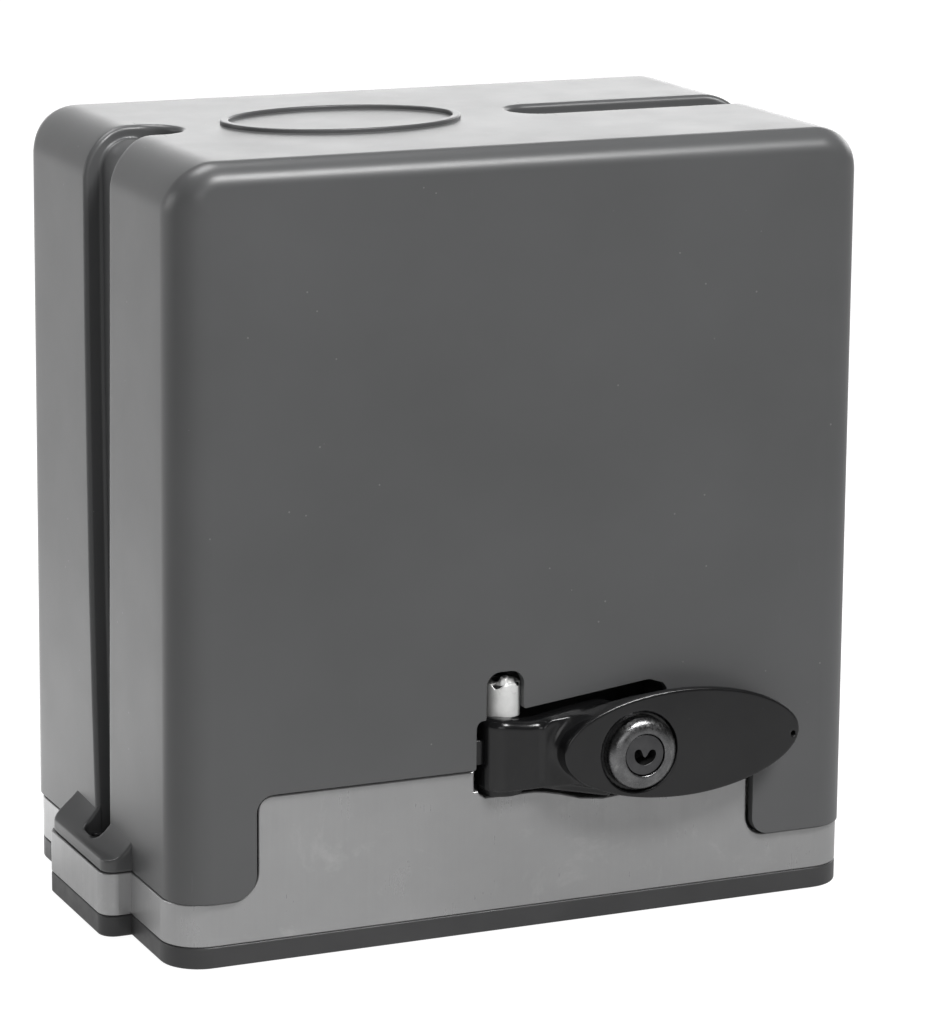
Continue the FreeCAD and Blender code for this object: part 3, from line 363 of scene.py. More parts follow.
def surface_nets(f, lo, hi, h, iters=3):
    """Closed quad mesh of the zero level of f (negative inside), by naive surface nets, pulled on to the exact surface."""
    lo, hi = np.array(lo, float), np.array(hi, float)
    n = np.ceil((hi - lo) / h).astype(int) + 1
    ax = [lo[i] + h * np.arange(n[i]) for i in range(3)]
    X, Y, Z = np.meshgrid(*ax, indexing="ij")
    d = f(X, Y, Z)
    ins = d < 0
    corners = [(i, j, k) for i in (0, 1) for j in (0, 1) for k in (0, 1)]
    sub = lambda a, c: a[c[0]:n[0] - 1 + c[0], c[1]:n[1] - 1 + c[1], c[2]:n[2] - 1 + c[2]]
    cnt = sum(sub(ins, c).astype(np.int8) for c in corners)
    cell = (cnt > 0) & (cnt < 8)
    idx = -np.ones(cell.shape, int)
    ijk = np.argwhere(cell)
    idx[cell] = np.arange(len(ijk))
    acc, wt = np.zeros((len(ijk), 3)), np.zeros(len(ijk))
    for a in corners:
        for axis in range(3):
            if a[axis]:
                continue
            b = list(a)
            b[axis] = 1
            pa, pb = ijk + np.array(a), ijk + np.array(b)
            da, db = d[tuple(pa.T)], d[tuple(pb.T)]
            cross = (da < 0) != (db < 0)
            t = np.where(cross, da / np.where(cross, da - db, 1), 0)
            p = pa + (pb - pa) * t[:, None]
            acc += p * cross[:, None]
            wt += cross
    v = lo + h * acc / wt[:, None]
    e = h * 0.05
    for _ in range(iters):
        x, y, z = v.T
        s = f(x, y, z)
        g = np.stack([f(x + e, y, z) - f(x - e, y, z), f(x, y + e, z) - f(x, y - e, z), f(x, y, z + e) - f(x, y, z - e)], 1) / (2 * e)
        step = s[:, None] * g / np.maximum((g * g).sum(1), 0.15)[:, None]
        ln = np.linalg.norm(step, axis=1, keepdims=True)
        v = v - step * np.minimum(1, 0.5 * h / np.maximum(ln, 1e-9))
    quads = []
    for axis in range(3):
        u, w = (axis + 1) % 3, (axis + 2) % 3
        a = [slice(None)] * 3
        b = [slice(None)] * 3
        a[axis], b[axis] = slice(0, -1), slice(1, None)
        sa, sb = ins[tuple(a)], ins[tuple(b)]
        p = np.argwhere(sa != sb)
        p = p[(p[:, u] > 0) & (p[:, w] > 0) & (p[:, u] < n[u] - 1) & (p[:, w] < n[w] - 1)]
        flip = sa[tuple(p.T)]
        q = []
        for du, dw in ((-1, -1), (0, -1), (0, 0), (-1, 0)):
            c = p.copy()
            c[:, u] += du
            c[:, w] += dw
            q.append(idx[tuple(c.T)])
        q = np.stack(q, 1)
        q[~flip] = q[~flip][:, ::-1]
        quads.append(q)
    q = np.concatenate(quads)
    q = q[(q >= 0).all(1)]
    return v, q


def smin(a, b, k):
    h = np.clip(0.5 + 0.5 * (b - a) / k, 0, 1)
    return b * (1 - h) + a * h - k * h * (1 - h)


def smax(a, b, k):
    return -smin(-a, -b, k)


def rbox(X, Y, Z, c, half, r):
    qx, qy, qz = np.abs(X - c[0]) - half[0] + r, np.abs(Y - c[1]) - half[1] + r, np.abs(Z - c[2]) - half[2] + r
    return np.sqrt(np.maximum(qx, 0) ** 2 + np.maximum(qy, 0) ** 2 + np.maximum(qz, 0) ** 2) + np.minimum(
        np.maximum(qx, np.maximum(qy, qz)), 0) - r


def revolve(name, profile, centre, axis, mat, body, seg=96, close=False):
    """profile: (radius, along) in mm, open ends on the axis or a closed loop."""
    verts, faces = [], []
    P = len(profile)
    for i in range(seg):
        a = 2 * math.pi * i / seg
        for r, t in profile:
            u, w = r * math.cos(a), r * math.sin(a)
            if axis == "y":
                verts.append((centre[0] + u, centre[1] + t, centre[2] + w))
            elif axis == "z":
                verts.append((centre[0] + u, centre[1] + w, centre[2] + t))
            else:
                verts.append((centre[0] + t, centre[1] + u, centre[2] + w))
    for i in range(seg):
        j = (i + 1) % seg
        for k in range(P if close else P - 1):
            l = (k + 1) % P
            faces.append((i * P + k, j * P + k, j * P + l, i * P + l))
    return make_obj(name, verts, faces, mat, body, merge=0.002)


# =====================================================================================
# cover: one shell, its outer and inner skins lofted on the same grid and joined along every open edge
# =====================================================================================
H, Z0 = 234.6, 20.2
HB, HT, HD = 110.0, 109.35, 66.4
R_SIDE, WALL = 14.8, 3.0
R_TOP, R_UPRIGHT = 7.6, 11.6     # the front and back edges are rounder down the sides than along the top
SLOT_CY, SLOT_HW = 3.0, 9.4
TIP_L, TIP_R = -82.0, 23.4
CX_L, CX_R = TIP_L - SLOT_HW, TIP_R + SLOT_HW
FRAME_IN = 15.5          # half side of the square frame round each slot's rounded end


def side_x(z):
    return HB + (HT - HB) * (z - Z0) / (H - Z0)


ARC_X = side_x(H - R_SIDE) - R_SIDE + 0.03


def face_r(nz):
    """Radius of the front and back edges, by how far the outline has turned from the side to the top."""
    t = min(1.0, max(0.0, nz))
    t = t * t * (3 - 2 * t)
    return R_UPRIGHT + (R_TOP - R_UPRIGHT) * t


def groove_edges(z):
    yf = np.interp(z, [20, 60, 130, 180, 217.1], [-7.7, -8.3, -9.9, -11.2, -12.0])
    yr = np.interp(z, [20, 32, 63, 95, 130, 175, 217.1], [2.3, 3.4, 5.6, 7.2, 8.3, 9.3, 9.6])
    return yf, yr


def stations():
    """(point, outward normal, front edge, rear edge, kind) along the left half, from the bottom to the slot's end."""
    out = []
    for z in np.concatenate([np.linspace(Z0, 36, 6), np.linspace(36, H - R_SIDE, 31)[1:]]):
        yf, yr = groove_edges(z)
        out.append(((-side_x(z), z), (-1.0, 0.0), yf, yr))
    yf0, yr0 = groove_edges(H - R_SIDE)
    n = 14
    for i in range(1, n + 1):
        a = math.pi / 2 * i / n
        s = (1 - math.cos(a)) * 0.5 + 0.5 * (i / n) ** 2
        s = s * s * (3 - 2 * s)
        yf = yf0 + (SLOT_CY - SLOT_HW - yf0) * s
        yr = yr0 + (SLOT_CY + SLOT_HW - yr0) * s
        out.append(((-ARC_X - R_SIDE * math.cos(a), H - R_SIDE + R_SIDE * math.sin(a)), (-math.cos(a), math.sin(a)), yf, yr))
    return out


class Net:
    def __init__(self):
        self.v, self.f = [], []

    def grid(self, rows, flip=False):
        base = len(self.v)
        m = len(rows[0])
        for r in rows:
            self.v += [tuple(p) for p in r]
        for i in range(len(rows) - 1):
            for j in range(m - 1):
                a, b, c, d = base + i * m + j, base + i * m + j + 1, base + (i + 1) * m + j + 1, base + (i + 1) * m + j
                self.f.append((a, d, c, b) if flip else (a, b, c, d))


N_FIL, N_FLAT, N_TIP = 10, 6, 16


def groove_depth(nz):
    t = min(1.0, max(0.0, nz * 1.15))
    return 5.6 - 1.6 * t * t * (3 - 2 * t)


def groove_section(t, hw, D=5.6):
    """(distance beyond the wall, depth) from the frame side to the groove's middle, outer skin t=0, inner skin t=WALL."""
    rr, rf = (1.5, 1.2) if t == 0 else (0.9, 2.2)
    e = hw + t
    pts = []
    for i in range(6):
        a = math.pi / 2 * i / 5
        pts.append((e + rr - rr * math.sin(a), t + rr - rr * math.cos(a)))
    d1 = t + D - rf
    d0 = t + rr
    pts.append((e, d0 + (d1 - d0) * 0.5))
    for i in range(5):
        a = math.pi / 2 * i / 4
        pts.append((e - rf + rf * math.cos(a), t + D - rf + rf * math.sin(a)))
    return pts


def cross(st, t):
    """The whole cross-section at one station, as 3-D points from the front fillet to the back one."""
    (px, pz), (nx, nz), yf, yr = st
    RF = face_r(nz)
    R = RF - t
    cy, hw = (yf + yr) / 2, (yr - yf) / 2
    D = groove_depth(nz)
    sec = groove_section(t, hw, D)
    half = []
    for i in range(N_FIL + 1):
        a = math.pi / 2 * i / N_FIL
        half.append((-(HD - RF) - R * math.cos(a), t + R - R * math.sin(a)))
    fy = -(HD - RF)
    # flat, out to the frame line, then to the groove's rim
    fr = SLOT_CY - FRAME_IN
    rr = 1.7 if t == 0 else 0.9
    rim = cy - hw - t - rr
    if rim < fr + 1.0:
        fr = rim - 2.5
    for i in range(1, N_FLAT + 1):
        half.append((fy + (fr - fy) * i / N_FLAT, t))
    half.append(((fr + rim) / 2, t))
    for e, d in sec:
        half.append((cy - e, d))
    last = cy - sec[-1][0]
    for k in (1, 2):
        half.append((last + (cy - last) * k / 3, t + D))
    half.append((cy, t + D))
    back = []
    fb = SLOT_CY + FRAME_IN
    rimb = cy + hw + t + rr
    if rimb > fb - 1.0:
        fb = rimb + 2.5
    for i in range(N_FIL + 1):
        a = math.pi / 2 * i / N_FIL
        back.append(((HD - RF) + R * math.cos(a), t + R - R * math.sin(a)))
    for i in range(1, N_FLAT + 1):
        back.append((-fy + (fb + fy) * i / N_FLAT, t))
    back.append(((fb + rimb) / 2, t))
    for e, d in sec:
        back.append((cy + e, d))
    for k in (1, 2):
        l2 = cy + sec[-1][0]
        back.append((l2 + (cy - l2) * k / 3, t + D))
    full = half + back[::-1]
    return [(px - nx * d, y, pz - nz * d) for y, d in full]


def mirror(rows):
    return [[(-x, y, z) for x, y, z in r] for r in rows]


def skin(t):
    """Outer (t=0) or inner skin: both have the same vertices in the same order."""
    net = Net()
    left = stations()
    # straight run of slot on the top, left side: from the corner to the rounded end
    xs_l = [-ARC_X + (CX_L + ARC_X) * k / 2 for k in (1, 2)]
    rows = [cross(s, t) for s in left]
    # the corner ends at -ARC_X; carry on to the rounded end's centre
    flat = lambda x: ((x, H), (0.0, 1.0), SLOT_CY - SLOT_HW, SLOT_CY + SLOT_HW)
    rows_l = rows + [cross(flat(x), t) for x in xs_l]
    net.grid(rows_l)
    right = [[(-x, y, z) for x, y, z in cross(s, t)] for s in left]
    n_run = 14
    xr = [ARC_X + (CX_R - ARC_X) * i / n_run for i in range(1, n_run + 1)]
    rows_r = right + [cross(flat(x), t) for x in xr]
    net.grid(rows_r, flip=True)
    # blocks round the rounded ends
    zt = H - t
    n_half = N_FIL + 1 + N_FLAT
    for cx, s in ((CX_L, 1), (CX_R, -1)):
        steps = [cx + s * FRAME_IN * i / 4 for i in range(5)]
        base = cross(flat(cx), t)
        front, back = base[:n_half], base[-n_half:]
        net.grid([[(x, y, z) for _, y, z in front] for x in steps], flip=(s < 0))
        net.grid([[(x, y, z) for _, y, z in back] for x in steps], flip=(s < 0))
        # frame: 4 along the front, 8 down the far side, 4 along the back
        frame_pts = [(cx + s * FRAME_IN * i / 4, SLOT_CY - FRAME_IN) for i in range(4)]
        frame_pts += [(cx + s * FRAME_IN, SLOT_CY - FRAME_IN + 2 * FRAME_IN * i / 8) for i in range(8)]
        frame_pts += [(cx + s * FRAME_IN * (4 - i) / 4, SLOT_CY + FRAME_IN) for i in range(5)]
        sec = groove_section(t, SLOT_HW, groove_depth(1.0))
        rings = []
        angs = [-math.pi / 2 + math.pi * k / N_TIP for k in range(N_TIP + 1)]
        rings.append([(x, y, zt) for x, y in frame_pts])
        r0 = sec[0][0]
        circ = lambda r, z: [(cx + s * r * math.cos(a), SLOT_CY + r * math.sin(a), z) for a in angs]
        c0 = circ(r0, zt)
        rings.append([tuple((p[i] + q[i]) / 2 for i in range(3)) for p, q in zip(rings[0], c0)])
        for e, d in sec:
            rings.append(circ(e, H - d))
        fl = H - (t + groove_depth(1.0))
        rl = sec[-1][0]
        rings.append(circ(rl * 2 / 3, fl))
        rings.append(circ(rl / 3, fl))
        rings.append(circ(1e-4, fl))
        net.grid(rings, flip=(s > 0))
    # the middle of the top
    xa, xb = CX_L + FRAME_IN, CX_R - FRAME_IN
    m = 16
    base = cross(flat(CX_L), t)
    front, back = base[:n_half], base[-n_half:]
    ys = [(y, z) for _, y, z in front] + [(SLOT_CY - FRAME_IN + 2 * FRAME_IN * i / 8, zt) for i in range(1, 8)] + [
        (y, z) for _, y, z in back]
    net.grid([[(xa + (xb - xa) * i / m, y, z) for y, z in ys] for i in range(m + 1)])
    return net


def arc2(cx, cz, r, a0, a1, n=6):
    return [(cx + r * math.cos(math.radians(a0 + (a1 - a0) * i / n)), cz + r * math.sin(math.radians(a0 + (a1 - a0) * i / n)))
            for i in range(n + 1)]


FRONT_OPEN = ([(-92.9, Z0)] + arc2(-92.7, 27.7, 7.5, -90, 0, 8) + arc2(-80.0, 45.8, 5.2, 180, 90, 7) + arc2(-16.9, 51.6, 0.6, -90, 0, 3)
              + [(-16.3, 63.2)] + arc2(-13.6, 63.4, 2.7, 180, 118, 4) + arc2(-13.8, 66.4, 0.6, -60, 0, 3) + [(-13.2, 72.0)]
              + arc2(-8.9, 75.9, 4.3, 180, 90, 6) + arc2(-5.5, 75.9, 4.3, 90, 0, 6) + [(-1.2, 70.2)] + arc2(-0.5, 69.0, 0.7, 180, 262, 3)
              + [(20.0, 70.70)] + arc2(39.6, 69.1, 3.9, 96.5, 60, 4) + arc2(42.0, 68.3, 4.0, 55, 0, 5)
              + [(46.0, 60.0)] + arc2(46.8, 51.8, 0.8, 180, 270, 3) + arc2(72.2, 47.4, 3.6, 90, 0, 6) + arc2(81.3, 25.7, 5.5, 180, 270, 8)
              + [(81.6, Z0)])
REAR_OPEN = ([(-61.2, Z0)] + arc2(-59.2, 98.8, 2.0, 180, 90, 4) + arc2(49.2, 98.8, 2.0, 90, 0, 4) + [(51.2, Z0)])


def dedupe(pts):
    out = [pts[0]]
    for p in pts[1:]:
        if math.hypot(p[0] - out[-1][0], p[1] - out[-1][1]) > 0.05:
            out.append(p)
    return out


def face_outline():
    """(x, z) of the flat face's rim from the bottom left over the top to the bottom right, at the same stations."""
    pts = []
    left = stations()
    for (px, pz), (nx, nz), _, _ in left:
        pts.append((px - nx * face_r(nz), pz - nz * face_r(nz)))
    zt = H - R_TOP
    pts += [(-ARC_X + (CX_L + ARC_X) * k / 2, zt) for k in (1, 2)]
    pts += [(CX_L + FRAME_IN * i / 4, zt) for i in range(1, 5)]
    xa, xb = CX_L + FRAME_IN, CX_R - FRAME_IN
    pts += [(xa + (xb - xa) * i / 16, zt) for i in range(1, 17)]
    pts += [(xb + FRAME_IN * i / 4, zt) for i in range(1, 5)]
    n_run = 14
    pts += [(ARC_X + (CX_R - ARC_X) * i / n_run, zt) for i in range(n_run - 1, 0, -1)]
    for (px, pz), (nx, nz), _, _ in left[::-1]:
        pts.append((-px + nx * face_r(nz), pz - nz * face_r(nz)))
    return pts


def build_cover():
    outline = dedupe(face_outline())
    bms = []
    for t in (0.0, WALL):
        net = skin(t)
        bm = bmesh.new()
        vs = [bm.verts.new(v) for v in net.v]
        bm.verts.ensure_lookup_table()
        for f in net.f:
            bm.faces.new([vs[i] for i in f])
        for y, op in ((-(HD - t), FRONT_OPEN), (HD - t, REAR_OPEN)):
            ring = [(x, y, z) for x, z in outline] + [(x, y, z) for x, z in dedupe(op)[::-1]]
            if y > 0:
                ring = ring[::-1]
            bm.faces.new([bm.verts.new(p) for p in ring])
        bms.append(bm)
    # weld each skin, in the same way, by position on the outer skin
    a, b = bms
    a.verts.index_update()
    b.verts.index_update()
    a.verts.ensure_lookup_table()
    b.verts.ensure_lookup_table()
    assert len(a.verts) == len(b.verts), (len(a.verts), len(b.verts))
    key, remap_ = {}, []
    for v in a.verts:
        k = tuple(round(c, 2) for c in v.co)
        hit = None
        for dx in (0, 0.01, -0.01):
            for dy in (0, 0.01, -0.01):
                for dz in (0, 0.01, -0.01):
                    kk = (round(k[0] + dx, 2), round(k[1] + dy, 2), round(k[2] + dz, 2))
                    if kk in key:
                        hit = key[kk]
        if hit is None:
            hit = v.index
            key[k] = hit
        remap_.append(hit)
    order = sorted(set(remap_))
    pos = {o: i for i, o in enumerate(order)}
    co_a = [a.verts[o].co.copy() for o in order]
    co_b = [b.verts[o].co.copy() for o in order]
    faces = []
    for f in a.faces:
        ids = [pos[remap_[v.index]] for v in f.verts]
        clean = [i for k, i in enumerate(ids) if i != ids[k - 1]]
        if len(set(clean)) >= 3:
            faces.append(clean)
    n = len(order)
    edges = {}
    for f in faces:
        for i in range(len(f)):
            e = (f[i], f[(i + 1) % len(f)])
            edges[e] = edges.get(e, 0) + 1
    out = bmesh.new()
    vs = [out.verts.new(c * 1.0) for c in co_a] + [out.verts.new(c * 1.0) for c in co_b]
    skipped = 0
    for f in faces:
        for off, ids in ((0, f), (n, f[::-1])):
            try:
                out.faces.new([vs[i + off] for i in ids])
            except ValueError:
                skipped += 1
    und = {}
    for (p, q), c in edges.items():
        k = (min(p, q), max(p, q))
        und.setdefault(k, []).append((p, q))
    rim = 0
    for k, uses in und.items():
        if len(uses) == 1 and edges[uses[0]] == 1:
            p, q = uses[0]
            out.faces.new([vs[q], vs[p], vs[p + n], vs[q + n]])
            rim += 1
    bmesh.ops.recalc_face_normals(out, faces=out.faces)
    open_edges = [e for e in out.edges if len(e.link_faces) != 2]
    print("cover", len(out.verts), len(out.faces), "rim", rim, "skipped", skipped, "open", len(open_edges))
    # cut the flat faces up into a grid
    for y in (-HD, -HD + WALL, HD, HD - WALL):
        big = [f for f in out.faces if len(f.verts) > 40 and abs(f.calc_center_median().y - y) < 0.3]
        for axis, vals in ((0, [-90, -70, -50, -30, -7, 12, 31, 55, 76, 92]), (2, [36, 51.2, 62, 80, 104, 128, 152, 176, 200])):
            for val in vals:
                fs = [f for f in out.faces if abs(f.normal.y) > 0.999 and all(abs(v.co.y - y) < 0.01 for v in f.verts)
                      and len(f.verts) > 4 or (abs(f.normal.y) > 0.999 and all(abs(v.co.y - y) < 0.01 for v in f.verts))]
                geom = list({e for f in fs for e in f.edges}) + fs
                co = Vector((val, 0, 0)) if axis == 0 else Vector((0, 0, val))
                no = Vector((1, 0, 0)) if axis == 0 else Vector((0, 0, 1))
                bmesh.ops.bisect_plane(out, geom=geom, plane_co=co, plane_no=no, dist=0.02)
    for v in out.verts:
        # the slot by the left side drops into a short well at its end
        x, y, z = v.co
        if -95 < x < -78 and abs(y - SLOT_CY) < SLOT_HW + 0.5 and z < H - 2.4 and z > 200 and x > CX_L - 1.0:
            f = min(1.0, max(0.0, (x - CX_L + 0.2) / 1.0))
            v.co.z -= 5.0 * f * f * (3 - 2 * f) * min(1.0, (H - 2.4 - z) / 1.4)
        if v.co.x > 0:
            v.co.x *= 1 - 0.7 / 110
        v.co *= MM
    me = bpy.data.meshes.new("cover_shell")
    out.to_mesh(me)
    out.free()
    for p in me.polygons:
        p.use_smooth = True
    o = bpy.data.objects.new("cover_shell", me)
    bpy.context.scene.collection.objects.link(o)
    me.materials.append(M["cover"])
    return o


cover = build_cover()
bevel(cover, 0.55, 2, 50)
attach(cover, "cover")
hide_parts("cover")

# ------------------------------------------------------------------------------------- screw bumps at the cover's feet


def sdf_obj(name, f, lo, hi, h, mat, body, iters=4):
    v, q = surface_nets(f, lo, hi, h, iters)
    o = make_obj(name, v, q, mat, body)
    return o


def bump_sdf(s):
    def f(X, Y, Z):
        x = X * s                                     # distance out from the middle, positive outwards
        t = np.clip((118.5 - x) / 9.0, 0, 1.25)
        u = np.clip((Y + 28.4) / 50.0, 0, 1)
        zw = 29.6 + 1.9 * u
        p = 2.7 - 1.5 * u
        top = 24.0 + (zw - 24.0) * t ** p
        slope = np.sqrt(1 + ((zw - 24.0) * p * np.maximum(t, 0.02) ** (p - 1) / 9.0) ** 2)
        d_top = (Z - top) / slope
        r = 4.2
        qx, qy = x - 118.5 + r, np.abs(Y + 3.4) - 24.9 + r
        d_plan = np.sqrt(np.maximum(qx, 0) ** 2 + np.maximum(qy, 0) ** 2) + np.minimum(np.maximum(qx, qy), 0) - r
        body = smax(smax(d_plan, d_top, 0.7), 20.25 - Z, 0.4)
        body = np.maximum(body, 108.2 - x)
        fill = np.maximum(np.maximum(103.9 - x, x - 112.0), np.maximum(np.abs(Y + 3.0) - 6.2, np.maximum(20.25 - Z, Z - 22.7)))
        body = np.minimum(body, fill)
        # the groove runs on through the bump, and ends round the screw
        r2 = 2.2
        cx = 104.0
        qx, qy = np.abs(x - cx) - 10.6 + r2, np.abs(Y + 3.2) - 5.5 - 0.10 * (Z - 22.7) + r2
        d_n = np.sqrt(np.maximum(qx, 0) ** 2 + np.maximum(qy, 0) ** 2) + np.minimum(np.maximum(qx, qy), 0) - r2
        d_n = smax(d_n, 22.7 - Z, 0.8)
        body = smax(body, -d_n, 0.7)
        hole = np.sqrt((x - 112.5) ** 2 + (Y + 3.4) ** 2) - 2.15
        return np.maximum(body, -hole)
    return f


H_SDF = 0.55
for s, side in ((-1, "left"), (1, "right")):
    lo = (min(s * 102.8, s * 120), -30.0, 19.4)
    hi = (max(s * 102.8, s * 120), 23.5, 33.5)
    b = sdf_obj("cover_bump_" + side, bump_sdf(s), lo, hi, H_SDF, "cover", "cover")

for s, side in ((-1, "left"), (1, "right")):
    prof = [(0.001, 23.4), (1.25, 23.4), (1.3, 24.35), (2.9, 24.2), (3.7, 23.7), (3.95, 23.1), (3.9, 22.9), (1.98, 22.9), (1.98, 9.6), (1.5, 9.1),
            (0.001, 9.1)]
    sc = revolve("cover_screw_" + side, prof, (s * 112.5, -3.4, 0), "z", "black_oxide", "cover", 48)
    bevel(sc, 0.12, 2, 40)
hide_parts("cover_screws")

# ------------------------------------------------------------------------------------- plain raised oval on the top
sec = [(38.9, -0.4), (38.9, 0.75)] + [(38.9 - 0.45 + 0.45 * math.cos(a), 0.75 + 0.45 * math.sin(a)) for a in
                                     (math.pi / 8, math.pi / 4, 3 * math.pi / 8, math.pi / 2)]
sec += [(36.9, 1.2)] + [(36.45 + 0.45 - 0.45 * math.sin(a), 0.75 + 0.45 * math.cos(a)) for a in
                        (math.pi / 8, math.pi / 4, 3 * math.pi / 8)] + [(36.4, 0.75), (36.4, -0.4)]
verts, faces = [], []
NT = 128
for i in range(NT):
    a = 2 * math.pi * i / NT
    for r, z in sec:
        off = r - 38.9
        # step inwards along the ellipse's own normal
        nx, ny = math.cos(a) / 38.9, math.sin(a) / 25.9
        nl = math.hypot(nx, ny)
        verts.append((-31.9 + 37.1 * math.cos(a) + off * nx / nl, 1.4 + 25.0 * math.sin(a) + off * ny / nl, H + z))
P = len(sec)
for i in range(NT):
    for k in range(P):
        faces.append((i * P + k, ((i + 1) % NT) * P + k, ((i + 1) % NT) * P + (k + 1) % P, i * P + (k + 1) % P))
oval = make_obj("top_oval", verts, faces, "cover", "cover", merge=0.001)
bevel(oval, 0.05, 1, 60)

# ------------------------------------------------------------------------------------- release lever
HX, HY = -5.6, -60.0
PX, PZ, PA, PB = 45.9, 55.7, 38.9, 16.65
LX, LZ = 31.6, 54.4


def ellipse_d(u, w, a, b):
    """Close to the true distance from an ellipse, near its rim."""
    k = np.sqrt((u / a) ** 2 + (w / b) ** 2)
    g = np.sqrt((u / a ** 2) ** 2 + (w / b ** 2) ** 2)
    return np.where(g > 1e-6, k * (k - 1) / np.maximum(g, 1e-6), -b)


def pad_outline(u, w):
    """The paddle's outline: an ellipse drawn out a little to a point at its right end."""
    lean = np.clip(u / PA, -1, 1)
    b = PB * (1 - 0.055 * np.clip(lean, 0, 1) ** 2)
    return ellipse_d(u, w, PA, b)


def lever_sdf(X, Y, Z):
    # heel and arm: a flat bar with soft long edges and a rounded heel
    cx = (-13.6 + 26.0) / 2
    top = 66.3 - 1.35 * np.exp(-((X - 0.5) / 7.0) ** 2) + 1.25 * np.clip((X - 7.0) / 12.0, 0, 1.6) ** 1.3
    bot = 44.2 - 0.20 * np.clip(X - 3.0, 0, 60) ** 1.03 * np.clip((X - 3.0) / 5.0, 0, 1)
    zc, hz = (top + bot) / 2, (top - bot) / 2
    rc = 6.3
    px, py = -(X + 13.6) + rc, -(Y + 70.0) + rc
    plan = np.maximum(np.abs(X - cx) - 19.8, np.abs(Y + 65.9) - 4.1)
    corner = np.sqrt(np.maximum(px, 0) ** 2 + np.maximum(py, 0) ** 2) + np.minimum(np.maximum(px, py), 0) - rc
    plan = np.maximum(plan, corner)
    dz = np.abs(Z - zc) - hz
    r = np.where(Z > zc, 2.7, 1.0)
    a, b = plan + r, dz + r
    bar = np.sqrt(np.maximum(a, 0) ** 2 + np.maximum(b, 0) ** 2) + np.minimum(np.maximum(a, b), 0) - r
    # relief under the heel for the washer
    bar = np.maximum(bar, -np.maximum(np.sqrt((X - HX) ** 2 + (Y - HY) ** 2) - 7.3, Z - 44.62))
    # cam behind, rising evenly over the quarter turn
    rx, ry = HX - X, Y - HY
    rad = np.sqrt(rx ** 2 + ry ** 2)
    ang = np.arctan2(rx, ry)
    rise = 4.9 + 3.5 * np.clip(ang / (math.pi / 2), 0, 1)
    camd = smax(rad - rise, np.abs(Z - 55.2) - 10.5, 0.8)
    bar = smin(bar, camd, 0.8)
    # paddle: crowned plate, thick behind its left half
    u, w = X - PX, Z - PZ
    e = pad_outline(u, w)
    crown = 0.5 * np.clip((u / PA) ** 2 + (w / PB) ** 2, 0, 1)
    front = -78.2 + crown
    back = -73.7 + 4.4 * (1 / (1 + np.exp((X - 27.0) / 4.5)))
    back = back - 0.9 * np.clip((u - 15) / 24, 0, 1) ** 2
    draft = 0.16 * (Y + 78.2)
    e2 = e + np.clip(draft, 0, 3.0) * 0.55
    a, b = e2 + 0.75, (front - Y) + 0.75
    fr = np.sqrt(np.maximum(a, 0) ** 2 + np.maximum(b, 0) ** 2) + np.minimum(np.maximum(a, b), 0) - 0.75
    a, b = e2 + 1.8, (Y - back) + 1.8
    bk = np.sqrt(np.maximum(a, 0) ** 2 + np.maximum(b, 0) ** 2) + np.minimum(np.maximum(a, b), 0) - 1.8
    pad = np.maximum(fr, bk)
    # neck: flares out of the bar and up behind the paddle
    tt = np.clip((X - 8.0) / 26.0, 0, 1)
    zn = 55.2 + 0.9 * tt
    hn = 9.6 + 3.2 * tt ** 1.3
    r = 3.0
    qx, qy, qz = np.abs(X - 23.5) - 19.4 + r, np.abs(Y + 69.6) - 5.0 + r, np.abs(Z - zn) - hn + r
    neck = np.sqrt(np.maximum(qx, 0) ** 2 + np.maximum(qy, 0) ** 2 + np.maximum(qz, 0) ** 2) + np.minimum(
        np.maximum(qx, np.maximum(qy, qz)), 0) - r
    neck = np.maximum(neck, (-70.2 - Y) - 0.6 * np.clip(X - 12.0, 0, 60))
    body = smin(bar, neck, 3.0)
    body = smin(body, pad, 3.6)
    # bores: hinge pin, lock with its counterbore, and the small hole near the tip
    pin = np.sqrt((X - HX) ** 2 + (Y - HY) ** 2) - 3.05
    lk = np.sqrt((X - LX) ** 2 + (Z - LZ) ** 2)
    cb = smax(np.sqrt((X - LX + 0.35) ** 2 + (Z - LZ - 0.15) ** 2) - 12.25, Y + 76.3, 0.25)
    small = np.maximum(np.sqrt((X - 82.6) ** 2 + (Z - 54.6) ** 2) - 0.8, Y + 75.4)
    body = np.maximum(body, -pin)
    body = smax(body, -(lk - 9.55), 0.3)
    body = smax(body, -cb, 0.5)
    return smax(body, -small, 0.3)


H_LEV = 0.5
lever = sdf_obj("lever_body", lever_sdf, (-16.0, -80.0, 37.5), (86.5, -50.0, 74.5), H_LEV, "lever", "lever", 5)
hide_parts("release_lever")

stop = make_obj("lever_stop", *(lambda x0, x1, y0, y1, z0, z1: (
    [(x, y, z) for x in (x0, x1) for y in (y0, y1) for z in (z0, z1)],
    [(0, 1, 3, 2), (4, 6, 7, 5), (0, 4, 5, 1), (2, 3, 7, 6), (0, 2, 6, 4), (1, 5, 7, 3)]))(-15.8, -12.5, -64.2, -62.0, 51.8, 59.4),
    "lever", "lever")
bevel(stop, 0.3, 2, 40)

# ------------------------------------------------------------------------------------- lock: domed ring, barrel, plug with its keyway
prof = [(9.45, -60.6), (9.45, -76.25), (10.9, -76.25), (11.1, -76.5), (11.1, -77.6)]
for i in range(0, 15):
    a = math.pi / 2 * i / 14
    prof.append((6.75 + 4.35 * math.cos(a) ** 0.92, -77.75 - 3.45 * math.sin(a) ** 0.88))
prof += [(6.5, -81.1), (6.38, -80.9), (6.36, -79.0), (6.36, -60.6)]
ring = revolve("lock_bezel", prof, (LX, 0, LZ), "y", "ring", "lever", 112, close=True)
bevel(ring, 0.12, 2, 45)
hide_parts("lock_ring", "lock_body")


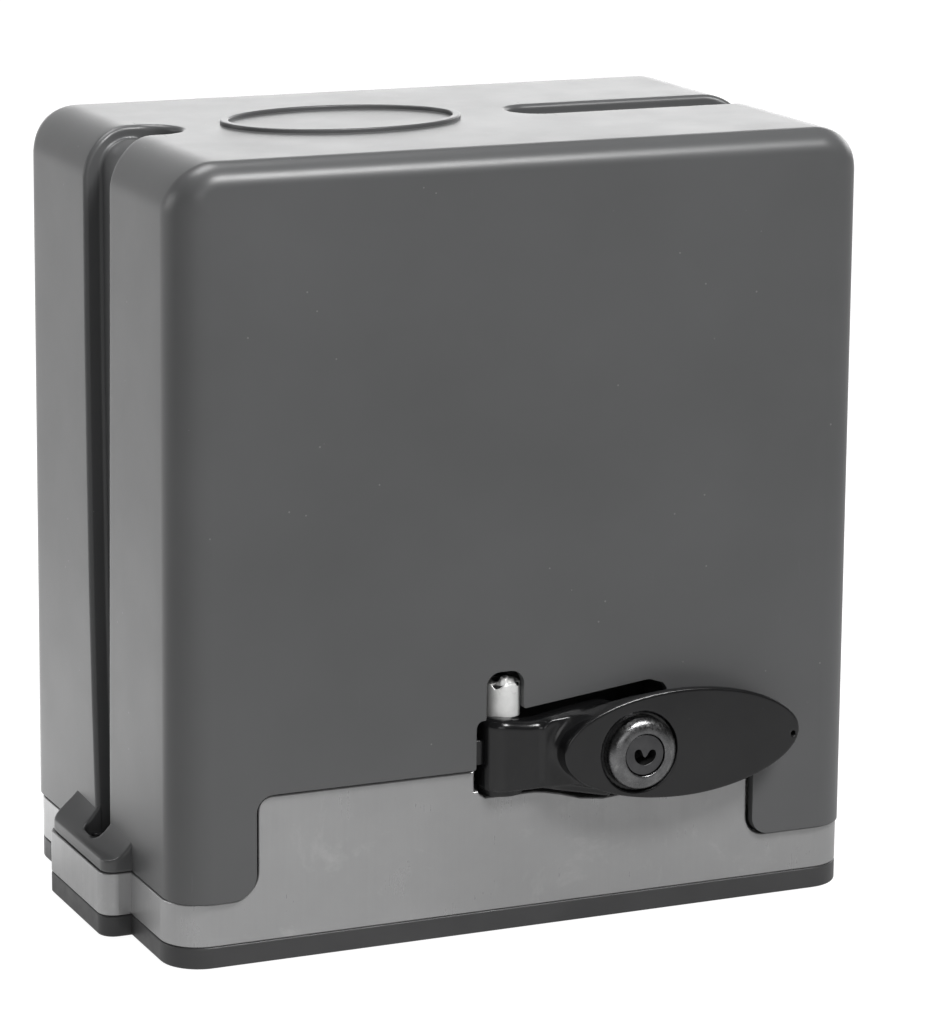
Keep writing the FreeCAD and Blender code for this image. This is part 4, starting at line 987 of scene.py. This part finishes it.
def keyway():
    """Outline of the key slot: a bean, open side up, with a pointed ward standing down into it."""
    R, rl = 3.5, 1.12
    cl, zt = 2.3, 0.55          # the two lobes: centres at +-cl, zt
    pts = []
    m = 40
    a0 = math.radians(8)
    for i in range(m + 1):
        a = a0 - (math.pi + 2 * a0) * i / m
        pts.append((R * math.cos(a), 0.05 + R * 0.93 * math.sin(a)))
    for k in range(1, 10):
        a = math.pi - math.pi * 0.86 * k / 10
        pts.append((-cl + rl * math.cos(a), zt + 0.95 * math.sin(a)))
    for x, z in ((-0.95, 0.30), (-0.68, -0.25), (-0.38, -0.72), (0.0, -0.90), (0.38, -0.72), (0.68, -0.25), (0.95, 0.30)):
        pts.append((x, z))
    for k in range(9, 0, -1):
        a = math.pi * 0.86 * k / 10
        pts.append((cl + rl * math.cos(a), zt + 0.95 * math.sin(a)))
    c, s = math.cos(math.radians(-6)), math.sin(math.radians(-6))
    return [(0.1 + c * x - s * z, 0.1 + s * x + c * z) for x, z in pts]


def build_plug():
    bm = bmesh.new()
    N = 72
    yf = -80.75
    circ = [(6.22 * math.cos(2 * math.pi * i / N), 6.22 * math.sin(2 * math.pi * i / N)) for i in range(N)]
    kw = keyway()
    loops = {}
    def loop(pts, y, dr=0.0):
        return [bm.verts.new(((LX + x * (1 + dr)) * MM, y * MM, (LZ + z * (1 + dr)) * MM)) for x, z in pts]
    cf = loop(circ, yf, -0.04)
    c1 = loop(circ, yf + 0.24)
    c2 = loop(circ, -60.3)
    kf = loop(kw, yf)
    k2 = loop(kw, yf + 7.0)
    def band(a, b):
        n = len(a)
        for i in range(n):
            bm.faces.new((a[i], a[(i + 1) % n], b[(i + 1) % n], b[i]))
    band(cf, c1)
    band(c1, c2)
    nb = len(bm.faces)
    band(kf, k2)
    bm.faces.new(k2)
    bm.faces.ensure_lookup_table()
    # the keyway's walls and floor take the second, near-black painted-shade material
    for f in bm.faces[nb:]:
        f.material_index = 1
    bm.faces.new(c2)
    es = [bm.edges.get((l[i], l[(i + 1) % len(l)])) for l in (cf, kf) for i in range(len(l))]
    bmesh.ops.triangle_fill(bm, use_beauty=True, use_dissolve=False, edges=es)
    # square drive behind, for the cam
    bmesh.ops.recalc_face_normals(bm, faces=bm.faces)
    me = bpy.data.meshes.new("lock_core")
    bm.to_mesh(me)
    bm.free()
    for p in me.polygons:
        p.use_smooth = True
    o = bpy.data.objects.new("lock_core", me)
    bpy.context.scene.collection.objects.link(o)
    me.materials.append(M["plug"])
    me.materials.append(M["key_slot"])
    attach(o, "lock_plug")
    return o


core = build_plug()
bevel(core, 0.1, 2, 50)
drive = make_obj("lock_drive", *(lambda x0, x1, y0, y1, z0, z1: (
    [(x, y, z) for x in (x0, x1) for y in (y0, y1) for z in (z0, z1)],
    [(0, 1, 3, 2), (4, 6, 7, 5), (0, 4, 5, 1), (2, 3, 7, 6), (0, 2, 6, 4), (1, 5, 7, 3)]))(LX - 3.4, LX + 3.4, -60.6, -57.55, LZ - 3.4, LZ + 3.4),
    "plug", "lock_plug")
bevel(drive, 0.3, 2, 40)
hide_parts("lock_plug")

# ------------------------------------------------------------------------------------- cast hinge boss with its broken-off sprue, and the pin in it


def boss_sdf(X, Y, Z):
    x, y = X - HX - 0.1, Y - HY
    n1 = np.sin(1.9 * x + 0.6) * np.cos(2.3 * y - 0.4) + 0.6 * np.sin(3.7 * x - 2.1 * y + 1.3) + 0.5 * np.cos(5.1 * y + 2.9 * x)
    rad = np.sqrt(x ** 2 + y ** 2)
    cyl = smax(rad - 5.38, Z - (75.75 + 0.14 * n1), 0.35)
    cyl = np.maximum(cyl, 65.55 - Z)
    # chipped rim, left and right of the broken sprue
    for cx, cy, cz, r in ((-3.3, -3.9, 76.0, 1.9), (3.7, -3.5, 76.2, 1.8), (4.9, -0.5, 76.3, 1.1)):
        cyl = smax(cyl, -(np.sqrt((x - cx) ** 2 + (y - cy) ** 2 + ((Z - cz) * 1.1) ** 2) - r - 0.12 * n1), 0.25)
    # broken sprue at the front of the rim: a tall stump, a low one beside it
    u, w = x + 0.45, y + 2.9
    rs = np.sqrt((u / 1.05) ** 2 + (w / 0.95) ** 2)
    sp = (rs - np.clip(2.3 - (Z - 75.2) * 0.48 + 0.18 * n1, 0.35, 2.5)) * 0.75
    sp = smax(sp, Z - 77.75 - 0.22 * np.sin(3.1 * x + 1.0), 0.3)
    sp = np.maximum(sp, 74.0 - Z)
    u2, w2 = x - 1.6, y + 2.6
    sp2 = (np.sqrt(u2 ** 2 + w2 ** 2) - np.clip(1.5 - (Z - 75.4) * 0.45, 0.4, 1.6)) * 0.8
    sp2 = np.maximum(smax(sp2, Z - 77.0 - 0.2 * np.sin(4.0 * y), 0.3), 74.0 - Z)
    return smin(smin(cyl, sp, 0.4), sp2, 0.4)


boss = sdf_obj("hinge_boss", boss_sdf, (HX - 6.2, HY - 6.2, 64.9), (HX + 6.2, HY + 6.2, 79.0), 0.3, "bright", "base", 2)
pin = revolve("hinge_pin", [(0.001, 29.0), (2.6, 29.0), (2.98, 29.4), (2.98, 76.2), (0.001, 76.2)], (HX, HY, 0), "z", "steel", "base", 48)
bevel(pin, 0.1, 1, 60)
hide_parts("pivot_pin")

# =====================================================================================
# floor, light and camera
# =====================================================================================
bm = bmesh.new()
bmesh.ops.create_circle(bm, cap_ends=True, radius=9.0, segments=64)
me = bpy.data.meshes.new("floor")
bm.to_mesh(me)
bm.free()
floor = bpy.data.objects.new("floor", me)
bpy.context.scene.collection.objects.link(floor)
floor.location = (0, 0, -0.0004)
fm, fnt, fb = new_mat("floor_pale_glow")
fb.inputs["Base Color"].default_value = (0.20, 0.20, 0.20, 1)
fb.inputs["Roughness"].default_value = 0.9
fb.inputs["Specular IOR Level"].default_value = 0.1
fb.inputs["Emission Color"].default_value = (1, 1, 1, 1)
# painted light: the floor glows, brightest close behind the object, dimmer at its left and in front, and is seen as
# plain white
ftc = fnt.nodes.new("ShaderNodeTexCoord")
fnv = fnt.nodes.new("ShaderNodeVectorMath")
fnv.operation = "NORMALIZE"
fnt.links.new(ftc.outputs["Object"], fnv.inputs[0])
fsep = fnt.nodes.new("ShaderNodeSeparateXYZ")
fnt.links.new(fnv.outputs[0], fsep.inputs[0])
fln = fnt.nodes.new("ShaderNodeVectorMath")
fln.operation = "LENGTH"
fnt.links.new(ftc.outputs["Object"], fln.inputs[0])
floor_glow = math_node(fnt, "MULTIPLY", remap(fnt, fsep.outputs["Y"], 0.30, 0.80, 0.30, 1.02),
                  remap(fnt, fln.outputs["Value"], 0.20, 0.55, 1.74, 0.98))
floor_glow = math_node(fnt, "MULTIPLY", floor_glow, remap(fnt, fsep.outputs["X"], -0.25, 0.15, 1.05, 0.72))
flp = fnt.nodes.new("ShaderNodeLightPath")
fmx = fnt.nodes.new("ShaderNodeMix")
fmx.data_type = "FLOAT"
fnt.links.new(flp.outputs["Is Camera Ray"], fmx.inputs["Factor"])
fnt.links.new(floor_glow, fmx.inputs["A"])
fmx.inputs["B"].default_value = 0.97
fnt.links.new(fmx.outputs["Result"], fb.inputs["Emission Strength"])
me.materials.append(fm)

world = bpy.data.worlds.new("studio")
bpy.context.scene.world = world
world.use_nodes = True
wt = world.node_tree
wt.nodes.clear()
wo = wt.nodes.new("ShaderNodeOutputWorld")
tc = wt.nodes.new("ShaderNodeTexCoord")
sep = wt.nodes.new("ShaderNodeSeparateXYZ")
wt.links.new(tc.outputs["Generated"], sep.inputs[0])
low = remap(wt, sep.outputs["Z"], 0.37, 0.24, 0.0, 1.0)
back = remap(wt, sep.outputs["Y"], 0.35, 0.80, 0.0, 1.0)
back = math_node(wt, "MULTIPLY", back, remap(wt, sep.outputs["X"], -0.20, 0.30, 0.18, 1.0))
band = math_node(wt, "MULTIPLY", low, back)
lev = math_node(wt, "ADD", math_node(wt, "MULTIPLY", band, 3.2), 0.08)
bg1 = wt.nodes.new("ShaderNodeBackground")
wt.links.new(lev, bg1.inputs["Strength"])
bg2 = wt.nodes.new("ShaderNodeBackground")
bg2.inputs["Strength"].default_value = 1.0
bg2.inputs["Color"].default_value = (1, 1, 1, 1)
bg1.inputs["Color"].default_value = (1, 1, 1, 1)
lp = wt.nodes.new("ShaderNodeLightPath")
mx = wt.nodes.new("ShaderNodeMixShader")
wt.links.new(lp.outputs["Is Camera Ray"], mx.inputs[0])
wt.links.new(bg1.outputs[0], mx.inputs[1])
wt.links.new(bg2.outputs[0], mx.inputs[2])
wt.links.new(mx.outputs[0], wo.inputs[0])


def area(name, loc, target, size, power):
    l = bpy.data.lights.new(name, "AREA")
    l.shape = "RECTANGLE"
    l.size, l.size_y = size
    l.energy = power
    o = bpy.data.objects.new(name, l)
    bpy.context.scene.collection.objects.link(o)
    o.location = loc
    d = Vector(target) - Vector(loc)
    o.rotation_euler = d.to_track_quat("-Z", "Y").to_euler()
    return o


area("overhead", (-0.15, 0.35, 1.6), (0.0, 0.0, 0.23), (0.9, 0.6), 16.0)
area("strip_front", (0.40, -1.12, 1.36), (0.0, 0.0, 0.20), (0.58, 0.46), 27.0)
area("side_left", (-2.2, 0.9, 0.45), (0.0, 0.0, 0.10), (1.2, 0.7), 8.0)
area("front_fill", (-1.0, -2.9, 0.9), (0.0, 0.0, 0.12), (1.8, 1.0), 9.0)
area("right_soft", (2.2, 0.9, 0.9), (0.0, 0.0, 0.12), (1.2, 1.0), 10.0)

cam_data = bpy.data.cameras.new("camera")
cam_data.sensor_width = 36.0
cam_data.lens = 151.72
cam_data.clip_end = 50.0
cam = bpy.data.objects.new("camera", cam_data)
bpy.context.scene.collection.objects.link(cam)
bpy.context.scene.camera = cam
fw = Vector((0.39520, 0.88882, -0.23198)).normalized()
rt = fw.cross(Vector((0, 0, 1))).normalized()
up = rt.cross(fw)
roll = 0.00917
r2 = rt * math.cos(roll) + up * math.sin(roll)
u2 = up * math.cos(roll) - rt * math.sin(roll)
cam.matrix_world = Matrix.Translation(Vector((-0.51077, -1.17463, 0.41840))) @ Matrix(
    ((r2.x, u2.x, -fw.x), (r2.y, u2.y, -fw.y), (r2.z, u2.z, -fw.z))).to_4x4()
bpy.context.scene.view_settings.view_transform = "Standard"
bpy.context.scene.view_settings.look = "None"
